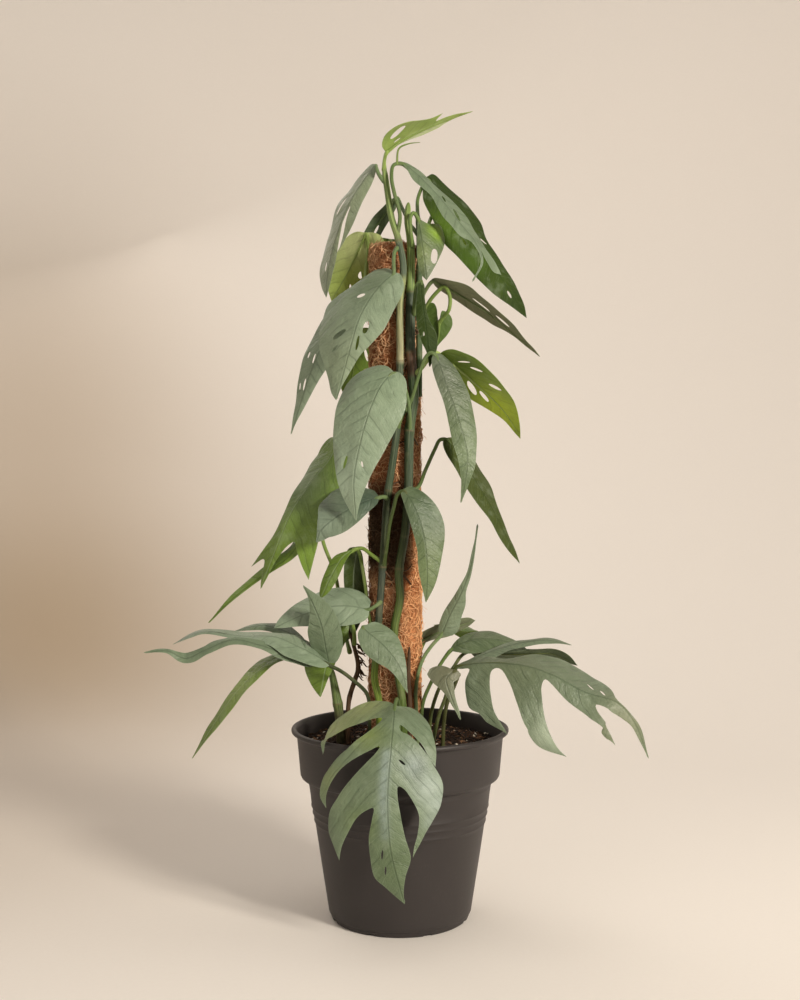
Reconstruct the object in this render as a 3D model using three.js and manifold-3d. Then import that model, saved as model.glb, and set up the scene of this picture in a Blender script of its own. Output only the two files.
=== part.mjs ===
// Potted cebu blue pothos on a coir pole. Millimetres, +Z up, the pot's underside on z = 0.
import * as THREE from "three";
import Module from "manifold-3d";

const wasm = await Module();
wasm.setup();

// Driving dimensions
const POT_RIM_RADIUS = 105;
const POT_HEIGHT = 182;
const POT_WALL = 1.8;
const POT_FLOOR = 2.4;
const POT_FOOT_RADIUS = 65;
const COLLAR_TOP_RADIUS = 99.7;
const COLLAR_LOW_RADIUS = 96.7;
const COLLAR_LOW = 142;
const BODY_TOP_RADIUS = 89;
const BODY_TOP = 133;
const POT_SIDES = 32;
const DRAIN_HOLES = 8;
const SOIL_TOP = 168;
const GAP = 0.35;
const POLE_X = -5;
const POLE_RADIUS = 23.3;
const POLE_TOP = 646;
const POLE_FOOT = 60;
const STAKE_RADIUS = 9;
const BLADE_THICKNESS = 0.7;
const STALK_RADIUS = 1.8;
const MIDRIB_RADIUS = 0.8;

// Finishes
const FINISH = {
  pot: { color: 0x3a3634, roughness: 0.55 },
  soil: { color: 0x2b1d14, roughness: 0.97 },
  coir: { color: 0x7c4d30, roughness: 0.95 },
  wood: { color: 0x9a7550, roughness: 0.8 },
  stem: { color: 0x6f8a4c, roughness: 0.5 },
  bark: { color: 0x5a4230, roughness: 0.85 },
  grey: { color: 0x7f9478, roughness: 0.42 },
  green: { color: 0x6e8c3c, roughness: 0.48 },
  dark: { color: 0x4a5a2c, roughness: 0.5 },
};

const plant = new THREE.Group();
plant.name = "potted_cebu_blue_pothos";

// Solids
function toSolid(geometry) {
  const position = geometry.getAttribute("position");
  const index = new Map();
  const points = [];
  const remap = [];
  for (let i = 0; i < position.count; i++) {
    const p = [position.getX(i), position.getY(i), position.getZ(i)].map((c) => Math.round(c * 1e3) / 1e3);
    const key = p.join(" ");
    if (!index.has(key)) {
      index.set(key, points.length / 3);
      points.push(...p);
    }
    remap.push(index.get(key));
  }
  const order = geometry.index ? [...geometry.index.array] : remap.map((_, i) => i);
  const triangles = [];
  for (let i = 0; i < order.length; i += 3) {
    const [a, b, c] = [remap[order[i]], remap[order[i + 1]], remap[order[i + 2]]];
    if (a !== b && b !== c && c !== a) triangles.push(a, b, c);
  }
  return new wasm.Manifold(
    new wasm.Mesh({
      numProp: 3,
      vertProperties: new Float32Array(points),
      triVerts: new Uint32Array(triangles),
    }),
  );
}

function toGeometry(solid) {
  const mesh = solid.getMesh();
  const geometry = new THREE.BufferGeometry();
  const position = new Float32Array(mesh.numVert * 3);
  for (let i = 0; i < mesh.numVert; i++) {
    position.set(mesh.vertProperties.subarray(i * mesh.numProp, i * mesh.numProp + 3), i * 3);
  }
  geometry.setAttribute("position", new THREE.BufferAttribute(position, 3));
  geometry.setIndex([...mesh.triVerts]);
  geometry.computeVertexNormals();
  return geometry;
}

function largest(solid) {
  const bodies = solid.decompose();
  return bodies.reduce((best, body) => (body.volume() > best.volume() ? body : best));
}

function add(name, solid, finish) {
  const material = new THREE.MeshStandardMaterial({ metalness: 0, side: THREE.DoubleSide, ...finish });
  const mesh = new THREE.Mesh(toGeometry(solid), material);
  mesh.name = name;
  plant.add(mesh);
}

const vectors = (points) => points.map((p) => new THREE.Vector3(...p));
const smooth = (points) => new THREE.CatmullRomCurve3(vectors(points), false, "centripetal");

// A closed round rod along a smooth line, its radius blended through the listed radii.
function rod(points, radii, sides = 6, step = 16) {
  const line = smooth(points);
  const rings = Math.max(3, Math.round(line.getLength() / step));
  const frames = line.computeFrenetFrames(rings, false);
  const position = [];
  const index = [];
  for (let i = 0; i <= rings; i++) {
    const centre = line.getPointAt(i / rings);
    const t = (i / rings) * (radii.length - 1);
    const k = Math.min(Math.floor(t), radii.length - 2);
    const radius = THREE.MathUtils.lerp(radii[k], radii[k + 1], t - k);
    for (let j = 0; j < sides; j++) {
      const turn = (j / sides) * 2 * Math.PI;
      const p = centre
        .clone()
        .addScaledVector(frames.normals[i], radius * Math.cos(turn))
        .addScaledVector(frames.binormals[i], radius * Math.sin(turn));
      position.push(p.x, p.y, p.z);
    }
  }
  const at = (i, j) => i * sides + (j % sides);
  for (let i = 0; i < rings; i++) {
    for (let j = 0; j < sides; j++) {
      index.push(at(i, j), at(i, j + 1), at(i + 1, j + 1));
      index.push(at(i, j), at(i + 1, j + 1), at(i + 1, j));
    }
  }
  for (let j = 1; j < sides - 1; j++) {
    index.push(at(0, 0), at(0, j + 1), at(0, j));
    index.push(at(rings, 0), at(rings, j), at(rings, j + 1));
  }
  const geometry = new THREE.BufferGeometry();
  geometry.setAttribute("position", new THREE.Float32BufferAttribute(position, 3));
  geometry.setIndex(index);
  return toSolid(geometry);
}

function turned(profile, segments) {
  const lathe = new THREE.LatheGeometry(profile.map(([r, z]) => new THREE.Vector2(r, z)), segments);
  lathe.rotateX(Math.PI / 2);
  return toSolid(lathe);
}

function cylinder(radius, low, high, x = 0, y = 0, sides = 16) {
  const shape = new THREE.CylinderGeometry(radius, radius, high - low, sides);
  shape.rotateX(Math.PI / 2);
  shape.translate(x, y, (low + high) / 2);
  return toSolid(shape);
}

// Nursery pot: thin wall, rolled rim, stepped collar, three fine rings, drain holes
const potOutside = [
  [0, 0],
  [POT_FOOT_RADIUS, 0],
  [68, 1.5],
  [82.3, 92],
  [83.6, 94],
  [84.2, 106],
  [85.4, 108],
  [BODY_TOP_RADIUS, BODY_TOP],
  [94.5, BODY_TOP + 1.2],
  [96.3, 137.5],
  [COLLAR_LOW_RADIUS, COLLAR_LOW],
  [COLLAR_TOP_RADIUS, 172.5],
  [POT_RIM_RADIUS, 177],
  [POT_RIM_RADIUS, 180],
  [103.6, POT_HEIGHT],
];
const potInside = [
  [101, POT_HEIGHT],
  [98.4, 178.5],
  [COLLAR_TOP_RADIUS - POT_WALL, 172.5],
  [COLLAR_LOW_RADIUS - POT_WALL, COLLAR_LOW],
  [BODY_TOP_RADIUS - POT_WALL, 135.5],
  [66.2, POT_FLOOR],
  [0, POT_FLOOR],
];
let pot = turned([...potOutside, ...potInside], POT_SIDES);
for (let i = 0; i < DRAIN_HOLES; i++) {
  const turn = ((i + 0.5) / DRAIN_HOLES) * 2 * Math.PI;
  pot = pot.subtract(cylinder(5, -1, POT_FLOOR + 1, 44 * Math.cos(turn), 44 * Math.sin(turn), 10));
  const notch = new THREE.BoxGeometry(9, 9, 4);
  notch.translate(68, 0, 0);
  notch.rotateZ(turn);
  pot = pot.subtract(toSolid(notch));
}
add("pot", pot, FINISH.pot);

// Stems that climb the pole
const STEMS = [
  {
    name: "vine_left",
    line: [[-20, -31, 140], [-20, -31, 212], [-24, -29, 231], [-22, -28, 262], [-20, -28, 290], [-17, -29, 330],
      [-14, -30, 372], [-12, -30, 403], [-8, -31, 430], [-3, -31, 466], [0, -31, 528], [0, -31, 586],
      [3, -33, 622], [-2, -32, 648], [-8, -30, 668], [-12, -28, 694], [-15, -25, 716]],
    radii: [3.3, 3.3, 3.3, 3.4, 3.4, 3.4, 3.8, 3.4, 3.4, 3.8, 3.4, 3.4, 3.6, 3.4, 3.2, 3, 2.6],
  },
  {
    name: "vine_right",
    line: [[4, -34, 140], [2, -32, 212], [-1, -31, 232], [-5, -30, 256], [-5, -30, 281], [0, -30, 308],
      [-1, -30, 333], [5, -29, 372], [8, -28, 414], [9, -28, 467], [13, -26, 500], [10, -25, 540],
      [10, -25, 590], [10, -25, 644], [7, -24, 668], [8, -22, 684]],
    radii: [3.8, 3.8, 3.8, 3.6, 3.6, 4, 4.2, 4, 4, 4.4, 4.6, 5, 4.6, 4.2, 3.6, 2.6],
  },
  {
    name: "vine_rear",
    line: [[18.6, -13.8, 500], [18.3, -13.6, 560], [18.3, -13.6, 610], [18.4, -13.4, 650], [17, -10, 676]],
    radii: [2.6, 3.1, 3.1, 3, 2.4],
  },
  {
    name: "vine_back",
    line: [[-4, 34, 140], [-9, 31, 230], [-2, 31, 330], [-8, 31, 430], [-2, 31, 520], [-7, 31, 600], [-5, 30, 628]],
    radii: [3.8, 3.6, 3.6, 3.4, 3.4, 3.2, 2.4],
  },
  {
    name: "shoot_left",
    line: [[-55, -9, 140], [-58, -10, 192], [-63, -10, 222], [-67, -10, 241]],
    radii: [4.8, 5, 4.4, 2.8],
  },
  {
    name: "old_stem",
    line: [[-49, -16, 140], [-49, -14, 208], [-43, -14, 229], [-40, -14, 240], [-45, -14, 264], [-50, -13, 279]],
    radii: [2.6, 2.4, 2.2, 2.4, 2, 1.3],
    bark: true,
  },
  {
    name: "root_right",
    line: [[9, -29, 140], [9, -28, 206], [8, -28, 236], [9, -27, 262]],
    radii: [2.8, 2.6, 2.4, 1.4],
    bark: true,
  },
];

// Leaves. line: midrib from base to tip. face: way the upper side looks at base and tip.
// right, left: margin as [along the midrib, out from it], a third number marking a point.
// fold: droop of the right and left half in degrees. curl: more droop for each 100 mm out.
// slits: [along, out, along, out, half width]. stalk: leaf stalk from the stem to the base.
const LEAVES = [
  {
    name: "leaf_top", look: "green",
    line: [[-14, -6, 737], [-2, -10, 745], [19, -16, 754], [43, -22, 762], [69, -28, 769]],
    face: [[-0.3, 0.12, 0.94], [-0.25, 0.1, 0.95]], fold: [0, 0], curl: [27, 27],
    right: [[2, 14], [9, 28], [17, 38], [26, 42], [37, 38], [46, 28], [56, 20], [66, 18, 1], [57, 8], [67, 6], [79, 5]],
    left: [[6, 5], [16, 7], [29, 8], [41, 10], [54, 9], [65, 5], [79, 2]],
    slits: [[18, 21, 30, 30, 2.5], [12, 4, 20, 6, 1.1]],
    stalk: [[-15, -25, 713], [-15, -19, 724], [-14, -6, 737]],
  },
  {
    name: "leaf_upper_left", look: "grey",
    line: [[-23, -14, 723], [-36, -18, 704], [-49, -22, 682], [-61, -26, 648], [-68, -28, 617], [-70, -26, 593]],
    face: [[-0.62, -0.72, 0.3], [-0.7, -0.6, 0.3]],
    right: [[1, 8], [16, 14], [32, 18], [44, 24], [57, 21], [76, 18], [98, 20], [119, 17], [133, 11]],
    left: [[8, 6], [22, 11], [42, 14], [64, 16], [82, 12], [98, 8, 1], [78, 7], [50, 3], [60, 1.5], [84, 4], [104, 7], [123, 6]],
    slits: [[40, 12, 59, 14, 1.6], [107, 6, 117, 5, 0.8]],
    stalk: [[-14, -26, 702], [-20, -25, 710], [-23, -20, 719], [-23, -14, 723]],
  },
  {
    name: "leaf_cupped", look: "green",
    line: [[-33, 12, 663], [-42, 16, 645], [-53, 20, 623], [-68, 22, 598]],
    face: [[0.1, 0.98, 0.1], [0.1, 0.98, 0.1]], fold: [-22, -22], curl: [-67, -67],
    right: [[-2, 3], [-4, 13], [1, 22], [13, 28], [32, 25], [52, 17], [67, 8]],
    left: [[3, 10], [9, 17], [16, 21], [27, 23], [35, 23], [53, 17], [66, 10]],
    slits: [[36, 12, 42, 15, 2.4], [51, 8, 56, 11, 0.9]],
    stalk: [[1, -32, 600], [-8, -34, 606], [-20, -30, 607], [-32, -12, 608], [-33, 2, 625], [-31, 10, 648], [-33, 12, 663]],
  },
  {
    name: "leaf_behind_cupped", look: "dark",
    line: [[-3, 26, 702], [-15, 30, 686], [-30, 34, 665], [-48, 36, 633]],
    face: [[-0.3, 0.9, 0.3], [-0.3, 0.9, 0.3]],
    right: [[7, 5], [19, 7], [32, 8], [47, 9], [66, 8], [78, 3]],
    left: [[6, 4], [16, 6], [28, 8], [40, 8], [59, 7], [73, 4]],
    slits: [[33, 1.5, 45, 3, 1]],
    stalk: [[18, -13, 655], [10, -5, 667], [3, 11, 685], [-3, 26, 702]],
  },
  {
    name: "leaf_upper_right", look: "grey",
    line: [[1, -22, 723], [19, -26, 707], [40, -32, 683], [58, -36, 659], [71, -38, 642], [77, -38, 625], [68, -36, 606]],
    face: [[0.35, -0.75, 0.55], [0.5, -0.7, 0.4]],
    right: [[11, 4], [22, 8], [36, 7], [48, 6], [62, 10], [72, 12], [83, 10], [96, 9], [105, 4], [117, 2], [131, 1]],
    left: [[4, 5], [13, 7], [29, 10], [48, 12], [66, 16], [84, 17], [101, 13], [117, 11], [126, 19], [131, 27, 1],
      [131, 14], [124, 4], [116, 2], [129, 1.5]],
    slits: [[51, -6, 59, -3, 1.3], [68, -6, 83, -2, 1.8]],
    stalk: [[-3, -31, 650], [0, -35, 668], [-5, -36, 688], [-8, -34, 704], [-6, -28, 718], [1, -22, 723]],
    tendril: [[-3, -26, 719], [-1, -30, 733], [8, -32, 737], [19, -33, 738]],
  },
  {
    name: "leaf_dark_right", look: "green",
    line: [[26, 20, 720], [49, 14, 687], [76, 10, 648], [102, 8, 613], [124, 10, 579]],
    face: [[0.4, -0.8, 0.45], [0.4, -0.8, 0.45]],
    right: [[2, 7], [10, 12], [21, 19], [41, 23], [66, 28], [83, 25], [102, 23], [117, 22], [133, 18], [145, 13], [158, 7]],
    left: [[-1, 12], [9, 18], [26, 28], [45, 33], [64, 33], [79, 26], [100, 20], [123, 16], [141, 15], [156, 10]],
    slits: [[73, 8, 81, 9, 1.4], [79, -14, 88, -18, 1.2], [112, -4, 120, -4, 1.3], [140, 2, 148, 3, 1.2]],
    stalk: [[18, -11, 668], [17, 2, 682], [18, 14, 699], [26, 20, 720]],
  },
  {
    name: "leaf_folded", look: "grey",
    line: [[17, -31, 667], [20, -36, 646], [23, -39, 625], [25, -38, 607]],
    face: [[0.1, -0.95, 0.25], [0.1, -0.95, 0.2]], fold: [14, 14], curl: [87, 87],
    right: [[9, 2], [21, 4], [35, 6], [48, 6], [56, 4]],
    left: [[4, 10], [3, 19], [4, 26], [15, 28], [26, 25], [39, 17], [53, 7]],
    slits: [[31, -13, 46, -9, 3.6]],
    stalk: [[12, -28, 640], [10, -33, 655], [10, -33, 668], [13, -32, 672], [17, -31, 667]],
  },
  {
    name: "leaf_right_reach", look: "dark",
    line: [[30, -28, 610], [52, -20, 600], [79, -12, 585], [106, -8, 564], [135, -8, 539]],
    face: [[0.35, 0.28, 0.88], [0.35, 0.28, 0.88]], fold: [4, 4], curl: [13, 27],
    right: [[1, 8], [16, 21], [30, 27], [46, 24], [63, 19], [81, 17], [97, 14], [115, 8]],
    left: [[9, 9], [21, 12], [36, 13], [50, 13], [64, 13], [76, 12], [88, 6], [100, 3], [115, 2]],
    slits: [[42, 9, 65, 4, 1.5], [71, 6, 89, 5, 1.6]],
    stalk: [[20, -15, 590], [23, -22, 598], [30, -28, 610]],
  },
  {
    name: "leaf_hanging_dark", look: "dark",
    line: [[20, -46, 606], [20, -46, 592], [24, -45, 564], [28, -42, 525]],
    face: [[0.15, -0.95, 0.25], [0.2, -0.95, 0.2]],
    right: [[3, 3], [11, 4], [27, 7], [39, 8], [56, 6], [67, 2]],
    left: [[5, 3], [16, 3], [28, 3], [37, 4], [46, 8], [54, 10], [64, 9], [73, 5]],
    slits: [[48, 3, 52, 3, 0.8]],
    stalk: [[13, -27, 576], [14, -38, 590], [16, -44, 602], [20, -46, 606]],
  },
  {
    name: "leaf_heart", look: "green",
    line: [[37, -22, 570], [37, -20, 560], [35, -16, 547]],
    face: [[0.1, 0.9, 0.4], [0.1, 0.9, 0.4]], fold: [-15, -15],
    right: [[-7, 1.5], [-11, 3], [-10, 7], [-5, 12], [3, 13], [10, 9], [17, 4]],
    left: [[-6, 1.5], [-12, 2], [-18, 5], [-18, 10], [-13, 12], [-2, 12], [10, 9], [19, 4]],
    slits: [],
    stalk: [[20, -15, 576], [31, -23, 594], [42, -30, 602], [47, -34, 592], [46, -34, 580], [42, -28, 575], [37, -22, 570]],
  },
  {
    name: "leaf_grey_left", look: "grey",
    line: [[-5, -40, 614], [-18, -47, 601], [-30, -53, 584], [-39, -57, 565], [-46, -59, 540], [-59, -57, 493]],
    face: [[-0.3, -0.85, 0.45], [-0.35, -0.9, 0.2]],
    right: [[-3, 10], [-1, 19], [3, 25], [15, 26], [27, 31], [40, 42], [50, 50], [62, 49], [76, 45], [95, 38], [105, 29],
      [118, 18], [132, 8]],
    left: [[-2, 4], [1, 11], [8, 19], [21, 24], [36, 26], [62, 26], [81, 18], [91, 12], [109, 6], [124, 2]],
    slits: [[39, 15, 34, 8, 1.8], [82, 23, 71, 11, 2.8], [95, 20, 87, 15, 1.4], [72, -9, 59, -9, 2.6], [89, -6, 75, -5, 1.3]],
    stalk: [[-1, -31, 640], [-5, -38, 634], [-6, -41, 624], [-5, -40, 614]],
  },
  {
    name: "leaf_grey_left_back", look: "grey",
    line: [[-52, 2, 593], [-68, -4, 565], [-85, -10, 526], [-95, -12, 495], [-105, -10, 464]],
    face: [[-0.45, -0.8, 0.3], [-0.45, -0.8, 0.25]],
    right: [[0, 10], [10, 17], [30, 18], [53, 20], [80, 15], [106, 9], [125, 4]],
    left: [[7, 10], [28, 18], [53, 18], [74, 14], [93, 9], [113, 5], [127, 2]],
    slits: [[58, 13, 65, 11, 0.9], [59, 4, 69, 2, 1], [85, 3.5, 97, 2, 1.1], [90, 9, 97, 7, 0.8]],
    stalk: [[0, -30, 586], [-10, -31, 594], [-29, -24, 599], [-44, -8, 600], [-52, 2, 593]],
  },
  {
    name: "leaf_pale_left", look: "grey",
    line: [[-6, -52, 520], [-17, -60, 507], [-27, -66, 485], [-36, -72, 454], [-42, -74, 419], [-40, -72, 382]],
    face: [[-0.2, -0.88, 0.42], [-0.3, -0.94, 0.1]],
    right: [[-3, 11], [0, 21], [11, 30], [25, 38], [39, 39], [59, 35], [76, 31], [95, 25], [113, 17], [133, 9]],
    left: [[-2, 5], [0, 13], [7, 21], [31, 30], [54, 29], [78, 24], [98, 18], [122, 10], [136, 4]],
    slits: [[103, 12, 91, 11, 1.5], [94, -5, 100, -7, 0.8]],
    stalk: [[9, -28, 464], [9, -41, 482], [6, -47, 500], [-1, -51, 517], [-6, -52, 520]],
  },
  {
    name: "leaf_pale_right", look: "grey",
    line: [[33, -48, 537], [43, -54, 507], [54, -58, 475], [62, -60, 441], [60, -60, 419], [56, -58, 398]],
    face: [[0.15, -0.93, 0.3], [0.25, -0.95, 0.1]],
    right: [[2, 4], [11, 7], [28, 8], [46, 8], [68, 10], [88, 11], [108, 8], [123, 4], [135, 2]],
    left: [[1, 5], [10, 12], [22, 17], [42, 19], [60, 18], [84, 14], [100, 9], [113, 7], [128, 4]],
    slits: [],
    stalk: [[-3, -31, 466], [1, -35, 478], [10, -36, 494], [18, -42, 519], [24, -46, 534], [29, -48, 538], [33, -48, 537]],
  },
  {
    name: "leaf_bright_right", look: "green",
    line: [[38, -34, 539], [53, -28, 528], [76, -20, 509], [96, -14, 491], [109, -10, 474], [116, -8, 460]],
    face: [[0.35, 0.45, 0.8], [0.45, 0.4, 0.75]], fold: [4, 4],
    right: [[-1, 7], [0, 18], [3, 26], [17, 37], [41, 42], [66, 36], [87, 20], [105, 8]],
    left: [[10, 6], [26, 15], [41, 21], [55, 21], [74, 16], [93, 9], [107, 4]],
    slits: [[17, 7, 23, 22, 1.1], [28, 14, 37, 27, 1.6], [52, 16, 63, 27, 2.5], [39, -5, 55, -12, 3], [54, -4, 68, -8, 2.2]],
    stalk: [[14, -26, 520], [21, -32, 526], [27, -34, 534], [32, -35, 540], [38, -34, 539]],
  },
  {
    name: "leaf_lobed_left", look: "green",
    line: [[-61, 4, 462], [-66, -4, 444], [-84, -10, 420], [-103, -18, 391], [-115, -24, 362], [-132, -28, 317]],
    face: [[-0.5, -0.75, 0.45], [-0.5, -0.8, 0.3]],
    right: [[-1, 10], [8, 20], [35, 22], [50, 17], [76, 12], [94, 10], [105, 10], [130, 16], [151, 28, 1], [140, 10],
      [150, 7], [159, 4]],
    left: [[7, 8], [20, 20], [36, 33], [62, 38], [85, 37], [101, 37], [112, 39], [127, 41], [143, 43, 1], [133, 32],
      [122, 22], [115, 16], [120, 11], [130, 7], [143, 4], [157, 2]],
    slits: [],
    stalk: [[-48, -12, 254], [-54, 5, 274], [-59, 9, 304], [-64, 10, 330], [-75, 11, 359], [-80, 13, 386],
      [-76, 14, 425], [-68, 11, 455], [-61, 4, 462]],
    lobes: [
      {
        line: [[-89, -31, 368], [-106, -26, 347], [-132, -19, 328], [-157, -15, 309], [-184, -14, 283]],
        face: [[-0.4, -0.8, 0.45], [-0.4, -0.8, 0.45]],
        right: [[5, 8], [24, 9], [48, 10], [73, 8], [96, 5], [113, 3]],
        left: [[4, 7], [17, 6], [42, 3], [64, 2], [86, 2], [108, 1]],
      },
    ],
  },
  {
    name: "leaf_blue_left", look: "grey",
    line: [[-20, -42, 404], [-38, -48, 397], [-56, -55, 387], [-73, -60, 373], [-77, -61, 362]],
    face: [[-0.1, -0.8, 0.6], [-0.2, -0.85, 0.45]],
    right: [[0, 9], [5, 18], [15, 31], [27, 35], [37, 31], [49, 25], [58, 12], [67, 3]],
    left: [[4, 6], [14, 10], [34, 16], [52, 16], [71, 8]],
    slits: [],
    stalk: [[-12, -30, 402], [-15, -38, 404], [-20, -42, 404]],
  },
  {
    name: "leaf_pale_right_low", look: "grey",
    line: [[3, -44, 411], [12, -50, 397], [21, -54, 372], [25, -56, 340], [24, -54, 306]],
    face: [[0.1, -0.93, 0.35], [0.2, -0.96, 0.1]],
    right: [[1, 3], [13, 7], [42, 9], [60, 8], [81, 8], [98, 4]],
    left: [[0, 8], [5, 13], [13, 17], [27, 22], [41, 23], [59, 19], [81, 12], [97, 7]],
    slits: [],
    stalk: [[-16, -30, 338], [-13, -37, 354], [-10, -41, 377], [-6, -43, 394], [-2, -44, 407], [3, -44, 411]],
  },
  {
    name: "leaf_olive_right", look: "dark",
    line: [[44, -26, 460], [57, -24, 442], [78, -18, 410], [97, -14, 376], [115, -12, 340]],
    face: [[0.62, -0.6, 0.5], [0.62, -0.6, 0.5]],
    right: [[1, 7], [12, 13], [34, 15], [61, 15], [94, 10], [122, 7]],
    left: [[4, 12], [17, 26], [42, 33], [61, 33], [78, 18], [93, 11], [109, 8], [124, 5]],
    slits: [],
    stalk: [[8, -28, 409], [17, -25, 413], [24, -24, 429], [33, -26, 449], [38, -27, 458], [44, -26, 460]],
  },
  {
    name: "leaf_upright", look: "grey",
    line: [[40, 2, 269], [49, -2, 291], [58, -6, 309], [66, -8, 330], [71, -8, 351], [75, -6, 378]],
    face: [[-0.25, -0.92, -0.1], [-0.35, -0.9, -0.1]],
    right: [[2, 5], [5, 10], [12, 13], [26, 11], [38, 9], [50, 4], [64, 3], [78, 2], [96, 1]],
    left: [[5, 5], [18, 7], [36, 6], [53, 4], [67, 2], [88, 2], [100, 1]],
    slits: [],
    stalk: [[17, -20, 150], [16, -20, 190], [15, -20, 217], [17, -19, 234], [22, -11, 248], [30, -2, 259], [40, 2, 269]],
  },
  {
    name: "leaf_shade_right", look: "dark",
    line: [[20, 24, 262], [38, 26, 270], [58, 28, 276], [75, 30, 281]],
    face: [[-0.2, 0.75, 0.6], [-0.2, 0.75, 0.6]],
    right: [[-1, 9], [7, 13], [20, 14], [33, 13], [45, 11], [53, 7]],
    left: [[3, 5], [11, 6], [21, 8], [32, 9], [41, 7], [52, 4]],
    slits: [],
    stalk: [[22, 12, 150], [20, 13, 200], [19, 15, 230], [18, 20, 250], [20, 24, 262]],
  },
  {
    name: "leaf_low_left", look: "grey",
    line: [[-65, -42, 247], [-80, -46, 257], [-96, -46, 265], [-117, -42, 273], [-150, -36, 273], [-185, -32, 277],
      [-198, -32, 273], [-214, -34, 265]],
    face: [[-0.25, -0.35, 0.9], [-0.2, -0.3, 0.92]],
    right: [[4, 16], [14, 22], [35, 20], [50, 15], [65, 13], [87, 13], [110, 11], [131, 12], [139, 8], [151, 3]],
    left: [[4, 7], [10, 12], [20, 16], [31, 17], [40, 17], [50, 15], [69, 10], [81, 8], [98, 5], [121, 4], [133, 4], [146, 4]],
    slits: [],
    stalk: [[-30, -27, 150], [-29, -28, 196], [-31, -29, 217], [-45, -34, 232], [-56, -39, 241], [-65, -42, 247]],
    lobes: [
      {
        line: [[-76, -47, 250], [-102, -52, 257], [-128, -52, 266], [-156, -50, 271], [-180, -50, 262], [-199, -50, 254],
          [-215, -52, 261], [-237, -54, 260]],
        face: [[-0.1, -0.55, 0.8], [0.1, -0.75, 0.6]],
        right: [[8, 7], [30, 6], [54, 7], [77, 4], [89, 5], [101, 7], [112, 5], [129, 7], [144, 3], [155, 3], [163, 2]],
        left: [[8, 8], [23, 7], [39, 6], [55, 4], [67, 4], [82, 5], [95, 5], [109, 5], [122, 6], [130, 5], [139, 4],
          [151, 2], [160, 1]],
      },
      {
        line: [[-67, -36, 248], [-70, -43, 266], [-73, -49, 284], [-80, -51, 303], [-90, -49, 322]],
        face: [[-0.1, -0.95, -0.1], [-0.2, -0.95, 0]],
        right: [[-1, 6], [9, 14], [21, 17], [35, 17], [50, 15], [62, 10], [71, 5]],
        left: [[6, 9], [18, 15], [34, 15], [53, 7], [66, 2]],
      },
      {
        line: [[-88, -44, 263], [-96, -32, 269], [-111, -18, 276], [-133, -10, 280], [-161, -6, 274]],
        face: [[-0.15, -0.45, 0.85], [-0.15, -0.5, 0.85]],
        right: [[12, 5], [31, 8], [42, 11], [54, 8], [70, 6]],
        left: [[8, 4], [30, 6], [48, 6], [67, 5]],
      },
    ],
  },
  {
    name: "leaf_blue_low", look: "grey",
    line: [[-29, -36, 298], [-47, -33, 301], [-68, -31, 300], [-90, -31, 293], [-119, -30, 280]],
    face: [[-0.05, -0.72, 0.7], [-0.1, -0.75, 0.65]],
    right: [[2, 12], [8, 18], [16, 24], [26, 27], [40, 28], [58, 22], [75, 16], [89, 7]],
    left: [[-1, 7], [2, 13], [9, 18], [25, 21], [46, 19], [63, 13], [84, 5]],
    slits: [],
    stalk: [[-18, -29, 305], [-22, -35, 302], [-29, -36, 298]],
  },
  {
    name: "leaf_slim_left", look: "green",
    line: [[-103, -18, 254], [-118, -22, 250], [-130, -26, 243], [-150, -28, 225], [-167, -30, 203], [-184, -30, 176],
      [-197, -28, 156]],
    face: [[-0.55, -0.45, 0.7], [-0.65, -0.4, 0.6]], fold: [-4, 6], curl: [7, 33],
    right: [[5, 4], [17, 9], [28, 14], [40, 13], [55, 9], [73, 8], [102, 8], [126, 4]],
    left: [[8, 6], [19, 7], [36, 9], [58, 12], [86, 11], [110, 6], [126, 3]],
    slits: [],
    stalk: [[-66, -9, 234], [-74, -8, 244], [-88, -9, 253], [-97, -13, 256], [-103, -18, 254]],
  },
  {
    name: "leaf_bright_low", look: "green",
    line: [[-56, -16, 293], [-61, -20, 272], [-70, -22, 244], [-76, -20, 213]],
    face: [[-0.1, -0.97, 0.15], [-0.1, -0.97, 0.1]],
    right: [[1, 8], [15, 17], [39, 21], [57, 22], [72, 13], [79, 6]],
    left: [[5, 7], [19, 11], [34, 9], [53, 7], [66, 4], [76, 2]],
    slits: [],
    stalk: [[-44, -14, 262], [-44, -18, 276], [-49, -18, 290], [-56, -16, 293]],
  },
  {
    name: "leaf_mid_left", look: "green",
    line: [[-43, -22, 355], [-54, -27, 347], [-64, -31, 331], [-75, -31, 308]],
    face: [[-0.4, -0.85, 0.35], [-0.4, -0.85, 0.3]],
    right: [[8, 3], [19, 9], [33, 9], [48, 7], [56, 4]],
    left: [[9, 3], [23, 6], [38, 7], [53, 4]],
    slits: [],
    stalk: [[-16, -29, 342], [-27, -26, 349], [-36, -22, 355], [-43, -22, 355]],
  },
  {
    name: "leaf_mid_left_tall", look: "green",
    line: [[-41, -8, 356], [-44, -6, 336], [-46, -5, 301], [-52, -6, 264]],
    face: [[0.05, -0.98, 0.15], [-0.05, -0.98, 0.1]],
    right: [[3, 8], [14, 10], [29, 10], [52, 8], [80, 6]],
    left: [[5, 5], [24, 10], [42, 13], [65, 12], [85, 6]],
    slits: [],
    stalk: [[-21, -28, 268], [-29, -22, 289], [-32, -17, 310], [-35, -14, 330], [-38, -11, 345], [-41, -8, 356]],
  },
  {
    name: "leaf_front_small", look: "grey",
    line: [[-36, -46, 283], [-31, -48, 279], [-13, -54, 264], [0, -58, 246], [7, -58, 223]],
    face: [[0.1, -0.85, 0.5], [0.25, -0.9, 0.25]],
    right: [[2, 7], [11, 14], [22, 17], [36, 15], [46, 11], [64, 5]],
    left: [[2, 5], [5, 13], [16, 18], [28, 18], [41, 13], [58, 5]],
    slits: [],
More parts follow.
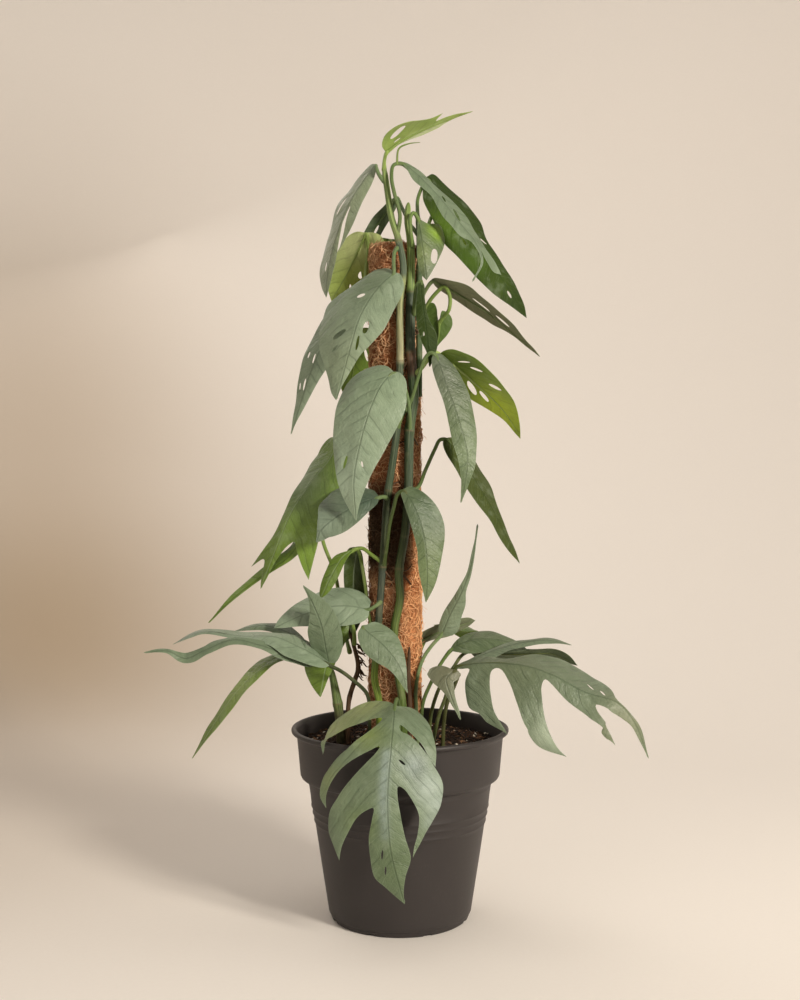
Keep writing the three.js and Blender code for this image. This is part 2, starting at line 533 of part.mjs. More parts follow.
    stalk: [[-21, -29, 276], [-27, -38, 282], [-36, -46, 283]],
  },
  {
    name: "leaf_front_lobed", look: "grey",
    line: [[-5, -72, 214], [-6, -98, 202], [-8, -114, 183], [-11, -122, 140], [-8, -122, 96], [-1, -120, 67], [4, -117, 49]],
    face: [[-0.02, -0.8, 0.6], [-0.02, -0.98, 0.1]],
    right: [[-6, 4], [-13, 21], [-13, 34], [-9, 46], [-3, 59], [5, 66], [35, 70], [62, 67, 1], [26, 61], [18, 47],
      [17, 32], [15, 18], [17, 11], [26, 14], [36, 22], [46, 34], [63, 49], [76, 58], [86, 64], [97, 65], [107, 58, 1],
      [96, 58], [82, 51], [70, 40], [59, 25], [51, 10], [57, 13], [67, 21], [81, 33], [96, 45], [111, 55], [125, 57],
      [136, 53], [146, 49, 1], [137, 45], [125, 37], [113, 28], [107, 20], [104, 12], [114, 14], [129, 18], [145, 19],
      [161, 19], [171, 13], [181, 7]],
    left: [[-1, 7], [-2, 15], [3, 24], [16, 32], [31, 37], [49, 41], [65, 42, 1], [57, 35], [45, 27], [36, 17], [28, 6],
      [35, 7], [38, 15], [47, 26], [61, 38], [81, 50], [104, 49], [121, 41], [134, 32], [153, 18, 1], [143, 21],
      [131, 26], [114, 28], [98, 22], [87, 14], [85, 9], [95, 9], [109, 11], [130, 14], [153, 16], [168, 7], [181, 2]],
    slits: [[62, -8, 66, -14, 0.9], [140, 7, 148, 9, 0.8], [154, 7, 161, 9, 0.8]],
    stalk: [[-2, -40, 150], [-1, -40, 190], [-1, -42, 207], [-3, -54, 217], [-5, -72, 214]],
  },
  {
    name: "leaf_right_lobed", look: "grey",
    line: [[50, -26, 242], [66, -32, 246], [82, -37, 248], [114, -46, 247], [139, -52, 240], [171, -58, 224],
      [200, -62, 215], [214, -64, 199], [228, -64, 164]],
    face: [[0.05, -0.3, 0.95], [0.35, -0.35, 0.85]], fold: [42, 0], curl: [48, 13],
    right: [[8, 3], [17, 5], [12, 16], [11, 30], [13, 41], [25, 48], [38, 57], [63, 66, 1], [53, 57], [44, 46],
      [40, 32], [38, 18], [39, 8], [43, 5], [48, 6], [57, 17], [68, 33], [85, 50], [105, 61], [118, 65], [133, 62, 1],
      [128, 58], [121, 51], [111, 41], [102, 31], [93, 19], [91, 11], [92, 7], [98, 8], [118, 15], [133, 19],
      [143, 24], [177, 32], [197, 26, 1], [184, 26], [156, 22], [145, 15], [142, 9], [150, 9], [161, 11], [176, 8],
      [185, 5], [201, 3]],
    left: [[7, 9], [22, 15], [49, 13], [62, 20], [74, 32], [89, 38], [114, 46], [135, 37], [146, 30], [154, 19],
      [158, 7, 1], [162, 3], [173, 3], [187, 6], [202, 5]],
    slits: [[130, -17, 138, -9, 0.9], [144, -11, 149, -4, 1.1]],
    stalk: [[29, -26, 150], [32, -26, 175], [37, -25, 197], [43, -24, 213], [48, -24, 229], [50, -26, 242]],
    lobes: [
      {
        line: [[57, -27, 244], [83, -14, 254], [112, -6, 262], [141, 0, 265], [167, 2, 260]],
        face: [[-0.1, -0.35, 0.95], [0.1, -0.4, 0.92]],
        right: [[12, 6], [28, 9], [58, 7], [78, 6], [95, 5], [107, 2]],
        left: [[13, 4], [33, 5], [63, 7], [81, 6], [95, 7], [106, 6]],
      },
    ],
  },
  {
    name: "leaf_arched_right", look: "grey",
    line: [[48, 1, 255], [62, 5, 262], [82, 11, 265], [110, 17, 260], [126, 19, 253]],
    face: [[0, -0.5, 0.87], [0.1, -0.5, 0.87]],
    right: [[4, 6], [12, 14], [29, 17], [54, 16], [73, 9]],
    left: [[7, 5], [15, 9], [29, 17], [40, 20], [50, 20], [59, 14], [69, 9], [78, 5]],
    slits: [],
    stalk: [[21, -9, 150], [21, -7, 196], [23, -5, 208], [31, -2, 226], [39, 1, 241], [48, 1, 255]],
  },
  {
    name: "leaf_brown_right", look: "dark",
    line: [[66, 18, 253], [97, 30, 248], [127, 38, 247], [156, 40, 246], [178, 38, 235]],
    face: [[0.1, 0.35, 0.93], [0.2, 0.45, 0.9]], fold: [-6, 2], curl: [0, 13],
    right: [[10, 8], [29, 9], [49, 10], [73, 13], [92, 12], [106, 9]],
    left: [[19, 18], [40, 28], [59, 26], [79, 17], [97, 12], [111, 6]],
    slits: [],
    stalk: [[28, -15, 150], [29, -12, 190], [34, -8, 210], [41, -4, 225], [52, 4, 238], [60, 12, 248], [66, 18, 253]],
  },
  {
    name: "leaf_right_small", look: "grey",
    line: [[51, -50, 243], [43, -54, 236], [47, -58, 220], [56, -56, 198]],
    face: [[-0.1, -0.9, 0.4], [-0.1, -0.95, 0.2]],
    right: [[3, 7], [8, 15], [11, 20], [13, 15], [18, 8], [27, 4], [38, 2]],
    left: [[-2, 6], [2, 8], [20, 6], [28, 4], [37, 3], [46, 2]],
    slits: [],
    stalk: [[40, -38, 150], [41, -38, 190], [44, -40, 210], [51, -43, 228], [54, -47, 239], [51, -50, 243]],
  },
];

// Leaves on the far side of the pole, plain in outline
const BACK_LEAVES = [
  {
    name: "leaf_back_top", wide: 27,
    line: [[-10, 62, 668], [-14, 84, 655], [-18, 104, 625], [-20, 112, 585]],
    face: [[0, 0.6, 0.8], [0, 0.95, 0.3]],
    stalk: [[-5, 30, 612], [-6, 44, 640], [-8, 54, 662], [-10, 62, 668]],
  },
  {
    name: "leaf_back_upper", wide: 18,
    line: [[6, 58, 600], [8, 80, 588], [8, 94, 556], [6, 100, 520]],
    face: [[0.2, 0.6, 0.8], [0.1, 0.95, 0.3]],
    stalk: [[-4, 31, 548], [2, 42, 575], [5, 50, 594], [6, 58, 600]],
  },
  {
    name: "leaf_back_left", wide: 25,
    line: [[-30, 50, 575], [-42, 72, 560], [-50, 88, 530], [-52, 94, 490]],
    face: [[-0.4, 0.6, 0.7], [-0.4, 0.9, 0.3]],
    stalk: [[-3, 31, 506], [-14, 38, 545], [-22, 44, 570], [-30, 50, 575]],
  },
  {
    name: "leaf_back_mid", wide: 22,
    line: [[-6, 54, 452], [-8, 76, 440], [-9, 92, 405], [-8, 98, 362]],
    face: [[0, 0.6, 0.8], [0, 0.95, 0.3]],
    stalk: [[-6, 31, 400], [-6, 40, 430], [-6, 47, 448], [-6, 54, 452]],
  },
  {
    name: "leaf_back_right", wide: 18,
    line: [[50, 45, 692], [64, 60, 678], [77, 70, 654], [86, 74, 627]],
    face: [[0.4, 0.6, 0.7], [0.5, 0.8, 0.3]],
    stalk: [[19, -14, 644], [26, 0, 664], [34, 22, 686], [42, 36, 694], [50, 45, 692]],
  },
  {
    name: "leaf_back_left_mid", wide: 20,
    line: [[-55, 58, 440], [-72, 72, 428], [-86, 80, 395], [-92, 82, 355]],
    face: [[-0.5, 0.6, 0.6], [-0.5, 0.8, 0.3]],
    stalk: [[-5, 31, 372], [-22, 42, 410], [-40, 52, 434], [-55, 58, 440]],
  },
  {
    name: "leaf_back_low", wide: 24,
    line: [[-44, 62, 300], [-58, 82, 296], [-72, 96, 276], [-80, 102, 246]],
    face: [[-0.3, 0.4, 0.85], [-0.4, 0.8, 0.5]],
    stalk: [[-14, 48, 150], [-17, 50, 220], [-28, 55, 282], [-36, 58, 297], [-44, 62, 300]],
  },
  {
    name: "leaf_back_right_low", wide: 24,
    line: [[48, 80, 272], [62, 100, 270], [74, 118, 258], [80, 128, 238]],
    face: [[0.2, 0.1, 0.95], [0.3, 0.6, 0.7]],
    stalk: [[8, 46, 150], [13, 52, 220], [26, 62, 258], [38, 72, 270], [48, 80, 272]],
  },
];

// The curved face of a blade: a place along the midrib and out from it, turned into a point and a normal.
function bladeFace(spec) {
  const midrib = smooth(spec.line);
  const length = midrib.getLength();
  const [faceBase, faceTip] = vectors(spec.face).map((v) => v.normalize());
  const fold = spec.fold ?? [8, 8];
  const curl = spec.curl ?? [40, 40];
  return {
    length,
    place(along, out) {
      const s = THREE.MathUtils.clamp(along / length, 0, 1);
      const tangent = midrib.getTangentAt(s);
      const up = faceBase.clone().lerp(faceTip, s);
      up.addScaledVector(tangent, -up.dot(tangent)).normalize();
      const right = new THREE.Vector3().crossVectors(tangent, up);
      const half = out >= 0 ? 0 : 1;
      const side = out >= 0 ? 1 : -1;
      const start = THREE.MathUtils.degToRad(fold[half]);
      const rate = THREE.MathUtils.degToRad(curl[half] || 0.01) / 100;
      const reach = Math.abs(out);
      const end = start + rate * reach;
      const point = midrib.getPointAt(s).addScaledVector(tangent, along - s * length);
      point.addScaledVector(right, (side * (Math.sin(end) - Math.sin(start))) / rate);
      point.addScaledVector(up, -(Math.cos(start) - Math.cos(end)) / rate);
      const normal = up.clone();
      if (reach > 0) normal.multiplyScalar(Math.cos(end)).addScaledVector(right, side * Math.sin(end));
      return { point, normal };
    },
  };
}

function slitOutline([u0, v0, u1, v1, halfWidth]) {
  const length = Math.hypot(u1 - u0, v1 - v0);
  const [du, dv] = [(u1 - u0) / length, (v1 - v0) / length];
  const round = [[0, 0], [0.25, 1], [0.75, 1], [1, 0], [0.75, -1], [0.25, -1]];
  const corners = halfWidth > 1.4 ? round : [[0, 0], [0.5, 1], [1, 0], [0.5, -1]];
  return corners.map(([t, w]) => new THREE.Vector2(
    u0 + du * length * t - dv * w * halfWidth,
    v0 + dv * length * t + du * w * halfWidth,
  ));
}

// Turns the edge two triangles share wherever the other diagonal gives rounder triangles,
// so that no long sliver spans the bend of a blade.
function evenOut(points, triangles) {
  const angleAt = (p, q, r) => {
    const a = points[q].clone().sub(points[p]);
    const b = points[r].clone().sub(points[p]);
    return Math.abs(Math.atan2(a.cross(b), a.dot(b)));
  };
  for (let pass = 0, turned = true; turned && pass < 60; pass++) {
    turned = false;
    const owner = new Map();
    triangles.forEach((t, i) => t.forEach((a, k) => owner.set(a + " " + t[(k + 1) % 3], i)));
    const used = new Set();
    for (const [key, i] of owner) {
      const [a, b] = key.split(" ").map(Number);
      const j = owner.get(b + " " + a);
      if (j === undefined || i > j || used.has(i) || used.has(j)) continue;
      const c = triangles[i].find((p) => p !== a && p !== b);
      const d = triangles[j].find((p) => p !== a && p !== b);
      if (angleAt(c, a, b) + angleAt(d, a, b) < Math.PI + 1e-4) continue;
      triangles[i] = [a, d, c];
      triangles[j] = [d, b, c];
      used.add(i).add(j);
      turned = true;
    }
  }
}

// A thin closed blade: both faces share one set of triangles, with a wall along every margin and slit.
function blade(spec) {
  const face = bladeFace(spec);
  const stations = Math.max(4, Math.round(face.length / 22));
  const spots = new Map();
  const flat = [];
  const triangles = [];
  const spot = (u, v) => {
    const key = u.toFixed(3) + " " + (v === 0 ? 0 : v).toFixed(3);
    if (!spots.has(key)) {
      spots.set(key, flat.length);
      flat.push([u, v]);
    }
    return spots.get(key);
  };
  for (const [margin, side] of [[spec.right, 1], [spec.left, -1]]) {
    const ids = [];
    const contour = [];
    for (let i = 0; i <= stations; i++) {
      const t = i / stations;
      ids.push(spot(t * face.length, 0));
      contour.push(new THREE.Vector2(t * face.length, side * 0.4 * t * (1 - t)));
    }
    for (const [u, v] of [...margin].reverse()) {
      ids.push(spot(u, side * v));
      contour.push(new THREE.Vector2(u, side * v));
    }
    const holes = (spec.slits ?? []).filter((s) => Math.sign(s[1]) === side).map(slitOutline);
    for (const p of holes.flat()) ids.push(spot(p.x, p.y));
    const points = [...contour, ...holes.flat()];
    const half = THREE.ShapeUtils.triangulateShape(contour, holes).map(([a, b, c]) => {
      const turn = points[b].clone().sub(points[a]).cross(points[c].clone().sub(points[a]));
      return turn > 0 ? [a, b, c] : [a, c, b];
    });
    evenOut(points, half);
    for (const [a, b, c] of half) triangles.push([ids[a], ids[c], ids[b]]);
  }
  const position = [];
  for (const level of [0.5, -0.5]) {
    for (const [u, v] of flat) {
      const { point, normal } = face.place(u, v);
      point.addScaledVector(normal, level * BLADE_THICKNESS);
      position.push(point.x, point.y, point.z);
    }
  }
  const under = flat.length;
  const index = [];
  const edges = new Set(triangles.flatMap(([a, b, c]) => [a + " " + b, b + " " + c, c + " " + a]));
  for (const [a, b, c] of triangles) {
    index.push(a, b, c, a + under, c + under, b + under);
    for (const [p, q] of [[a, b], [b, c], [c, a]]) {
      if (!edges.has(q + " " + p)) index.push(p, p + under, q + under, p, q + under, q);
    }
  }
  const geometry = new THREE.BufferGeometry();
  geometry.setAttribute("position", new THREE.Float32BufferAttribute(position, 3));
  geometry.setIndex(index);
  return toSolid(geometry);
}

function plainMargin(length, wide) {
  const shape = [[-0.02, 0.42], [0.06, 0.78], [0.22, 1], [0.4, 0.97], [0.58, 0.78], [0.76, 0.46], [0.9, 0.18]];
  return shape.map(([along, out]) => [along * length, out * wide]);
}

function wholeLeaf(spec) {
  const face = bladeFace(spec);
  const ribEnd = 0.32;
  const under = [0.02, 0.1, 0.2, ribEnd].map((s) => {
    const { point, normal } = face.place(s * face.length, 0);
    return point.addScaledVector(normal, -0.6).toArray();
  });
  const radii = [STALK_RADIUS, STALK_RADIUS * 0.9, STALK_RADIUS * 0.8, 1.1, MIDRIB_RADIUS];
  let leaf = blade(spec).add(rod([...spec.stalk.slice(0, -1), ...under], radii, 5, 26));
  for (const lobe of spec.lobes ?? []) leaf = leaf.add(blade(lobe));
  if (spec.tendril) leaf = leaf.add(rod(spec.tendril, [1.2, 0.9, 0.7], 5, 9));
  return leaf;
}

for (const spec of BACK_LEAVES) {
  const length = bladeFace(spec).length;
  spec.look = "green";
  spec.right = plainMargin(length, spec.wide);
  spec.left = plainMargin(length, spec.wide);
  const [near, far] = [spec.wide * 0.28, spec.wide * 0.55];
  spec.slits = [
    [length * 0.3, near, length * 0.44, far, 1.3],
    [length * 0.34, -near, length * 0.5, -far, 1.4],
  ];
}

// Coir pole: wooden stake inside, rough coir sleeve outside, closed over the top
function poleSleeve(grow) {
  const sides = 20;
  const rings = 24;
  const position = [];
  const index = [];
  for (let i = 0; i <= rings; i++) {
    const t = i / rings;
    const z = POLE_FOOT - grow + t * (POLE_TOP - POLE_FOOT + grow);
    for (let j = 0; j < sides; j++) {
      const turn = (j / sides) * 2 * Math.PI;
      let radius = POLE_RADIUS + 0.7 * Math.sin(5 * turn + 0.11 * z) + 0.5 * Math.sin(9 * turn - 0.19 * z);
      if (z < 420) radius += 1.2 * Math.max(0, Math.cos(turn + 0.3)) * Math.max(0, Math.sin((z - 200) / 70));
      if (i === rings) radius -= 3;
      position.push(POLE_X + (radius + grow) * Math.cos(turn), (radius + grow) * Math.sin(turn), z);
    }
  }
  const at = (i, j) => i * sides + (j % sides);
  for (let i = 0; i < rings; i++) {
    for (let j = 0; j < sides; j++) {
      index.push(at(i, j), at(i, j + 1), at(i + 1, j + 1));
      index.push(at(i, j), at(i + 1, j + 1), at(i + 1, j));
    }
  }
  for (let j = 1; j < sides - 1; j++) {
    index.push(at(0, 0), at(0, j + 1), at(0, j));
    index.push(at(rings, 0), at(rings, j), at(rings, j + 1));
  }
  const geometry = new THREE.BufferGeometry();
  geometry.setAttribute("position", new THREE.Float32BufferAttribute(position, 3));
  geometry.setIndex(index);
  return toSolid(geometry);
}
const stakeLow = POLE_FOOT - 20;
const stakeHigh = POLE_TOP - 8;
const sleeve = poleSleeve(0).subtract(cylinder(STAKE_RADIUS + GAP, POLE_FOOT - 1, stakeHigh + GAP, POLE_X, 0, 14));
add("pole_coir", sleeve, FINISH.coir);
add("pole_core", cylinder(STAKE_RADIUS, stakeLow, stakeHigh, POLE_X, 0, 14), FINISH.wood);

// Stems kept clear of the sleeve and of each other, and the shape that clears them
const stemClearance = [];
for (const stem of STEMS) {
  const solid = rod(stem.line, stem.radii, 7, 24);
  stemClearance.push(rod(stem.line, stem.radii.map((r) => r + 1.15 * GAP), 7, 24));
  add(stem.name, solid, stem.bark ? FINISH.bark : FINISH.stem);
}
const stemRoom = wasm.Manifold.union(stemClearance);

const stalkRoom = [];
for (const spec of [...LEAVES, ...BACK_LEAVES]) {
  add(spec.name, largest(wholeLeaf(spec).subtract(stemRoom)).simplify(0.03), FINISH[spec.look]);
  if (spec.stalk[0][2] < SOIL_TOP) {
    stalkRoom.push(rod(spec.stalk.slice(0, 3), [STALK_RADIUS + 1.3 * GAP, STALK_RADIUS + 1.3 * GAP], 5, 24));
  }
}

// Soil: lumpy top, filling the pot, with a plain hole for everything that stands in it
function soilBody() {
  const sides = POT_SIDES;
  const profile = [[65.7, POT_FLOOR + GAP], [86.7, 135.7], [94.4, 142.2], [96.3, 163]];
  const rings = [...profile, [90, SOIL_TOP], [72, SOIL_TOP], [50, SOIL_TOP], [28, SOIL_TOP]];
  const position = [];
  const index = [];
  rings.forEach(([radius, z], i) => {
    for (let j = 0; j < sides; j++) {
      const turn = (j / sides) * 2 * Math.PI;
      const x = radius * Math.cos(turn);
      const y = radius * Math.sin(turn);
      const lump = i < profile.length ? 0 : 1.4 * Math.sin(0.16 * x + 1) * Math.cos(0.13 * y) + 0.9 * Math.sin(0.31 * (x - y));
      position.push(x, y, z + lump);
    }
  });
  const at = (i, j) => i * sides + (j % sides);
  for (let i = 0; i < rings.length - 1; i++) {
    for (let j = 0; j < sides; j++) {
      index.push(at(i, j), at(i, j + 1), at(i + 1, j + 1));
      index.push(at(i, j), at(i + 1, j + 1), at(i + 1, j));
    }
  }
  for (let j = 1; j < sides - 1; j++) {
    index.push(at(0, 0), at(0, j + 1), at(0, j));
    index.push(at(rings.length - 1, 0), at(rings.length - 1, j), at(rings.length - 1, j + 1));
  }
  const geometry = new THREE.BufferGeometry();
  geometry.setAttribute("position", new THREE.Float32BufferAttribute(position, 3));
  geometry.setIndex(index);
  return toSolid(geometry);
}
let soil = soilBody();
soil = soil.subtract(cylinder(POLE_RADIUS + 2.8, POLE_FOOT - GAP, POT_HEIGHT, POLE_X, 0, 22));
soil = soil.subtract(cylinder(STAKE_RADIUS + GAP, stakeLow - GAP, POLE_FOOT, POLE_X, 0, 14));
soil = soil.subtract(stemRoom);
soil = soil.subtract(wasm.Manifold.union(stalkRoom));
add("soil", largest(soil), FINISH.soil);

export default plant;
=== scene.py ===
import math
import random

import bmesh
import bpy
import numpy as np
from mathutils import Matrix, Vector, noise
from mathutils.geometry import delaunay_2d_cdt


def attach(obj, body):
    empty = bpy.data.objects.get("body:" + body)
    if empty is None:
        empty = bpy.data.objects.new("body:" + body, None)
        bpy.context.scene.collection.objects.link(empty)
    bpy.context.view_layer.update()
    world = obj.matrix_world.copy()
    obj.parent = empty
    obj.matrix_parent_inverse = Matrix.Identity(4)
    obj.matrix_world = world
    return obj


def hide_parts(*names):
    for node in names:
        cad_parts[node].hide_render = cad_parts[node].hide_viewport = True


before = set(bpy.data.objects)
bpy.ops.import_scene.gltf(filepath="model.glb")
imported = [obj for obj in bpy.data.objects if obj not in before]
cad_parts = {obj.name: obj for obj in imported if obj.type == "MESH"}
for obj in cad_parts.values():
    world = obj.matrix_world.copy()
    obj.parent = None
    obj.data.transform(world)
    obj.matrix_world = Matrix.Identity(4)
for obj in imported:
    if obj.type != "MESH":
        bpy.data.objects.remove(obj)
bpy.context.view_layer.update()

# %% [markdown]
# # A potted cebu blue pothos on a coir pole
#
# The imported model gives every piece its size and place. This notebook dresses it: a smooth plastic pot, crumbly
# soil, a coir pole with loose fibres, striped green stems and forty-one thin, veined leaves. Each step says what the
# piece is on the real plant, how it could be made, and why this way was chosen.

MM = 0.001


def rows(text):
    """Rows of numbers and colours, from a text with commas between the rows."""
    return [[word if word[0] == "#" else float(word) for word in row.split()] for row in text.split(",")]


def measured(name="", **texts):
    """The measures of a stem or a leaf, in millimetres, each read from its text."""
    return {"name": name, **{key: rows(text) for key, text in texts.items()}}


print(len(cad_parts), "nodes in the frame")

# %% [markdown]
# ## Camera
#
# A camera at a tripod's height sees the pot's rim from above and its foot level. Its lens and distance come from how
# the rim's and the foot's ellipses look, so a straight, level view from 1.145 m does it.

# %% Camera
EYE, LENS, REACH = (0, -1.145, 0.401), 42.48, 30
camera = bpy.data.objects.new("camera", bpy.data.cameras.new("camera"))
bpy.context.scene.collection.objects.link(camera)
camera.location = EYE
camera.rotation_euler = (math.radians(90), 0, 0)
camera.data.lens, camera.data.clip_end = LENS, REACH
bpy.context.scene.camera = camera
print("camera", tuple(camera.location))

# %% [markdown]
# ## Nodes, written as sums
#
# Materials and Geometry Nodes are trees of nodes. One small class wraps a tree, and one method makes any node. A
# second class wraps a value in it and overloads + - * /, so that a mask can be written as an ordinary sum.

# %% Node helpers
def pick(sockets, key):
    """The socket with this number or identifier, or else the shown socket with this name."""
    if isinstance(key, int):
        return sockets[key]
    named = [s for s in sockets if s.identifier == key]
    return (named or [s for s in sockets if s.name == key and s.enabled])[0]


def colour(text):
    """A colour written as six hex digits, as the linear values that shaders use."""
    parts = [int(text[i:i + 2], 16) / 255 for i in (1, 3, 5)]
    return (*[c / 12.92 if c <= 0.04045 else ((c + 0.055) / 1.055) ** 2.4 for c in parts], 1.0)


class Value:
    """A value in a node tree. Arithmetic on it adds Math nodes."""

    def __init__(self, nodes, socket):
        self.nodes, self.socket = nodes, socket

    def math(self, operation, *others):
        return self.nodes.node("ShaderNodeMath", dict(enumerate([self, *others])), operation=operation)

    def __add__(self, other):
        return self.math("ADD", other)

    def __sub__(self, other):
        return self.math("SUBTRACT", other)

    def __rsub__(self, other):
        return self.nodes.node("ShaderNodeMath", {0: other, 1: self}, operation="SUBTRACT")

    def __mul__(self, other):
        return self.math("MULTIPLY", other)

    def __truediv__(self, other):
        return self.math("DIVIDE", other)

    def step(self, low, high):
        """0 below low, 1 above high, smooth between. With low above high it falls instead."""
        return self.nodes.node("ShaderNodeMapRange", {"Value": self, 1: low, 2: high}, interpolation_type="SMOOTHSTEP")


class Nodes:
    """A node tree that a material or a modifier uses."""

    def __init__(self, tree):
        self.tree = tree

    def node(self, kind, inputs=None, out=0, **settings):
        """A new node with these inputs and settings, as the value of one of its outputs."""
        made = self.tree.nodes.new(kind)
        for key, value in settings.items():
            setattr(made, key, value)
        for key, value in (inputs or {}).items():
            socket = pick(made.inputs, key)
            if isinstance(value, Value):
                self.tree.links.new(value.socket, socket)
            else:
                socket.default_value = colour(value) if str(value).startswith("#") else value
        return Value(self, pick(made.outputs, out))

    def mix(self, a, b, factor):
        """Colour a turning into colour b as factor goes from 0 to 1."""
        inputs = {"A_Color": a, "B_Color": b, "Factor_Float": factor}
        return self.node("ShaderNodeMix", inputs, "Result_Color", data_type="RGBA")

    def layers(self, base, *steps):
        """The base colour turned towards one colour after another, each by its own factor."""
        for tone, factor in steps:
            base = self.mix(base, tone, factor)
        return base

    def read(self, name, out="Fac"):
        return self.node("ShaderNodeAttribute", out=out, attribute_name=name)

    def vector(self, x, y, z):
        return self.node("ShaderNodeCombineXYZ", {"X": x, "Y": y, "Z": z})

    def place(self):
        return self.node("ShaderNodeTexCoord", out="Object")

    def noise(self, vector, scale, detail=2.0, roughness=0.5):
        inputs = {"Vector": vector, "Scale": scale, "Detail": detail, "Roughness": roughness}
        return self.node("ShaderNodeTexNoise", inputs)

    def grain(self, scale, detail=2.0, roughness=0.5):
        """Noise with a scale for each axis."""
        place = self.node("ShaderNodeMapping", {"Vector": self.place(), "Scale": scale})
        return self.noise(place, 1, detail, roughness)

    def chance(self, low, high, seed):
        """A different random number for each point."""
        return self.node("FunctionNodeRandomValue", {"Min_001": low, "Max_001": high, "Seed": seed}, "Value_001")


class Paint(Nodes):
    """A new material with one Principled surface."""

    def __init__(self, name, **plain):
        self.material = bpy.data.materials.new(name)
        self.material.use_nodes = True
        super().__init__(self.material.node_tree)
        self.surface = self.tree.nodes["Principled BSDF"]
        for key, value in plain.items():
            self.surface.inputs[key.replace("_", " ")].default_value = value

    def feed(self, **values):
        for key, value in values.items():
            self.tree.links.new(value.socket, self.surface.inputs[key.replace("_", " ")])

    def bump(self, height, distance, strength):
        self.feed(Normal=self.node("ShaderNodeBump", {"Height": height, "Distance": distance, "Strength": strength}))


def from_mesh(name, mesh, *materials):
    """An object at the origin, in the scene."""
    made = bpy.data.objects.new(name, mesh)
    bpy.context.scene.collection.objects.link(made)
    for material in materials:
        mesh.materials.append(material)
    return made


def baked(source):
    """The object with its modifiers applied, as a plain mesh."""
    graph = bpy.context.evaluated_depsgraph_get()
    mesh = bpy.data.meshes.new_from_object(source.evaluated_get(graph), preserve_all_data_layers=True, depsgraph=graph)
    name = source.name
    bpy.data.objects.remove(source)
    return from_mesh(name, mesh)


def with_nodes(source, group, **values):
    """Runs a Geometry Nodes group on the object, its inputs set by name, and bakes the result."""
    modifier = source.modifiers.new(group.name, "NODES")
    modifier.node_group = group
    inputs = {item.name: item.identifier for item in group.interface.items_tree if item.in_out == "INPUT"}
    for key, value in values.items():
        modifier[inputs[key]] = value
    return baked(source)


SOCKETS = {float: "NodeSocketFloat", int: "NodeSocketInt", type(None): "NodeSocketMaterial"}


def group_of(name, **inputs):
    """A Geometry Nodes group that a geometry goes through, with named inputs. None stands for a material."""
    tree = bpy.data.node_groups.new(name, "GeometryNodeTree")
    tree.interface.new_socket("Geometry", in_out="INPUT", socket_type="NodeSocketGeometry")
    for key, value in inputs.items():
        socket = tree.interface.new_socket(key, in_out="INPUT", socket_type=SOCKETS[type(value)])
        if value is not None:
            socket.default_value = value
    tree.interface.new_socket("Geometry", in_out="OUTPUT", socket_type="NodeSocketGeometry")
    nodes = Nodes(tree)
    given = tree.nodes.new("NodeGroupInput")
    return nodes, {s.name: Value(nodes, s) for s in given.outputs if s.name}


def end_group(nodes, geometry, material):
    """Ends a group: the geometry takes a material and goes out."""
    done = nodes.node("GeometryNodeSetMaterial", {"Geometry": geometry, "Material": material})
    out = nodes.tree.nodes.new("NodeGroupOutput")
    nodes.tree.links.new(done.socket, out.inputs[0])
    return nodes.tree


def copies_on(nodes, given, points, shape, turn, scale, seed):
    """Ends a group with a copy of the shape on each point, each with a tone drawn at random."""
    inputs = {"Points": points, "Instance": shape, "Rotation": turn, "Scale": scale}
    made = nodes.node("GeometryNodeInstanceOnPoints", inputs)
    inputs = {"Geometry": made, "Name": "tone", "Value": nodes.chance(0, 1, seed)}
    made = nodes.node("GeometryNodeStoreNamedAttribute", inputs, domain="INSTANCE", data_type="FLOAT")
    return end_group(nodes, nodes.node("GeometryNodeRealizeInstances", {"Geometry": made}), given["Material"])


def strewn(bed, group, paint, **inputs):
    """Loose pieces that a group lays on a copy of the bed."""
    return with_nodes(from_mesh(group.name, bed.copy()), group, Material=paint.material, **inputs)


def merge(name, objects):
    """Joins objects into the first one."""
    with bpy.context.temp_override(active_object=objects[0], selected_editable_objects=objects):
        bpy.ops.object.join()
    objects[0].name = name
    objects[0].data.name = name
    return objects[0]


def belongs(piece, slot, *nodes):
    """Fixes a finished piece to the plant, and has it stand for its nodes."""
    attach(piece, "root")
    if nodes:
        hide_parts(*nodes)
    print(piece.name, sum(len(face.vertices) - 2 for face in piece.data.polygons), "triangles")


# %% [markdown]
# ## Pot
#
# The pot is a thin-walled nursery pot, pressed from dark plastic in one shot: a rolled rim, a collar that other pots
# stack into, three fine rings and a flat foot with drain holes. A turned profile gives all of it. The profile could be
# swept with a Screw modifier, but plain mesh code keeps the profile's corners where they were measured.

# %% Pot profile
RIM = 105.0
outside = [
    (0, 0), (40, 0), (63, 0), (65.4, 0.2), (66.4, 0.9), (66.8, 2), (66.9, 4.2), (67.3, 4.9), (68.4, 5.6), (69.0, 7),
    (69.4, 10), (76, 52), (81.6, 88.5), (82.2, 92), (82.9, 92.7), (83.2, 93.4), (82.9, 94.1), (83.3, 97),
    (83.6, 99.2), (84.3, 99.9), (84.6, 100.6), (84.3, 101.3), (84.6, 104), (85.0, 106.2), (85.6, 106.9),
    (85.9, 107.6), (85.6, 108.3), (86.6, 118), (88.0, 127), (88.3, 128), (88.0, 129), (88.6, 131.5), (89.2, 133),
    (90.8, 133.8), (93.6, 134.6), (95.4, 135.8), (96.2, 137.4), (96.5, 140), (97.4, 150), (98.5, 162), (99.5, 172),
    (99.9, 174.4), (100.5, 175.9), (101.8, 176.9), (103.6, 177.4), (104.6, 178.1), (RIM, 179.1), (RIM, 180.3),
    (104.5, 181.3), (103.4, 181.9), (102.2, 182),
]
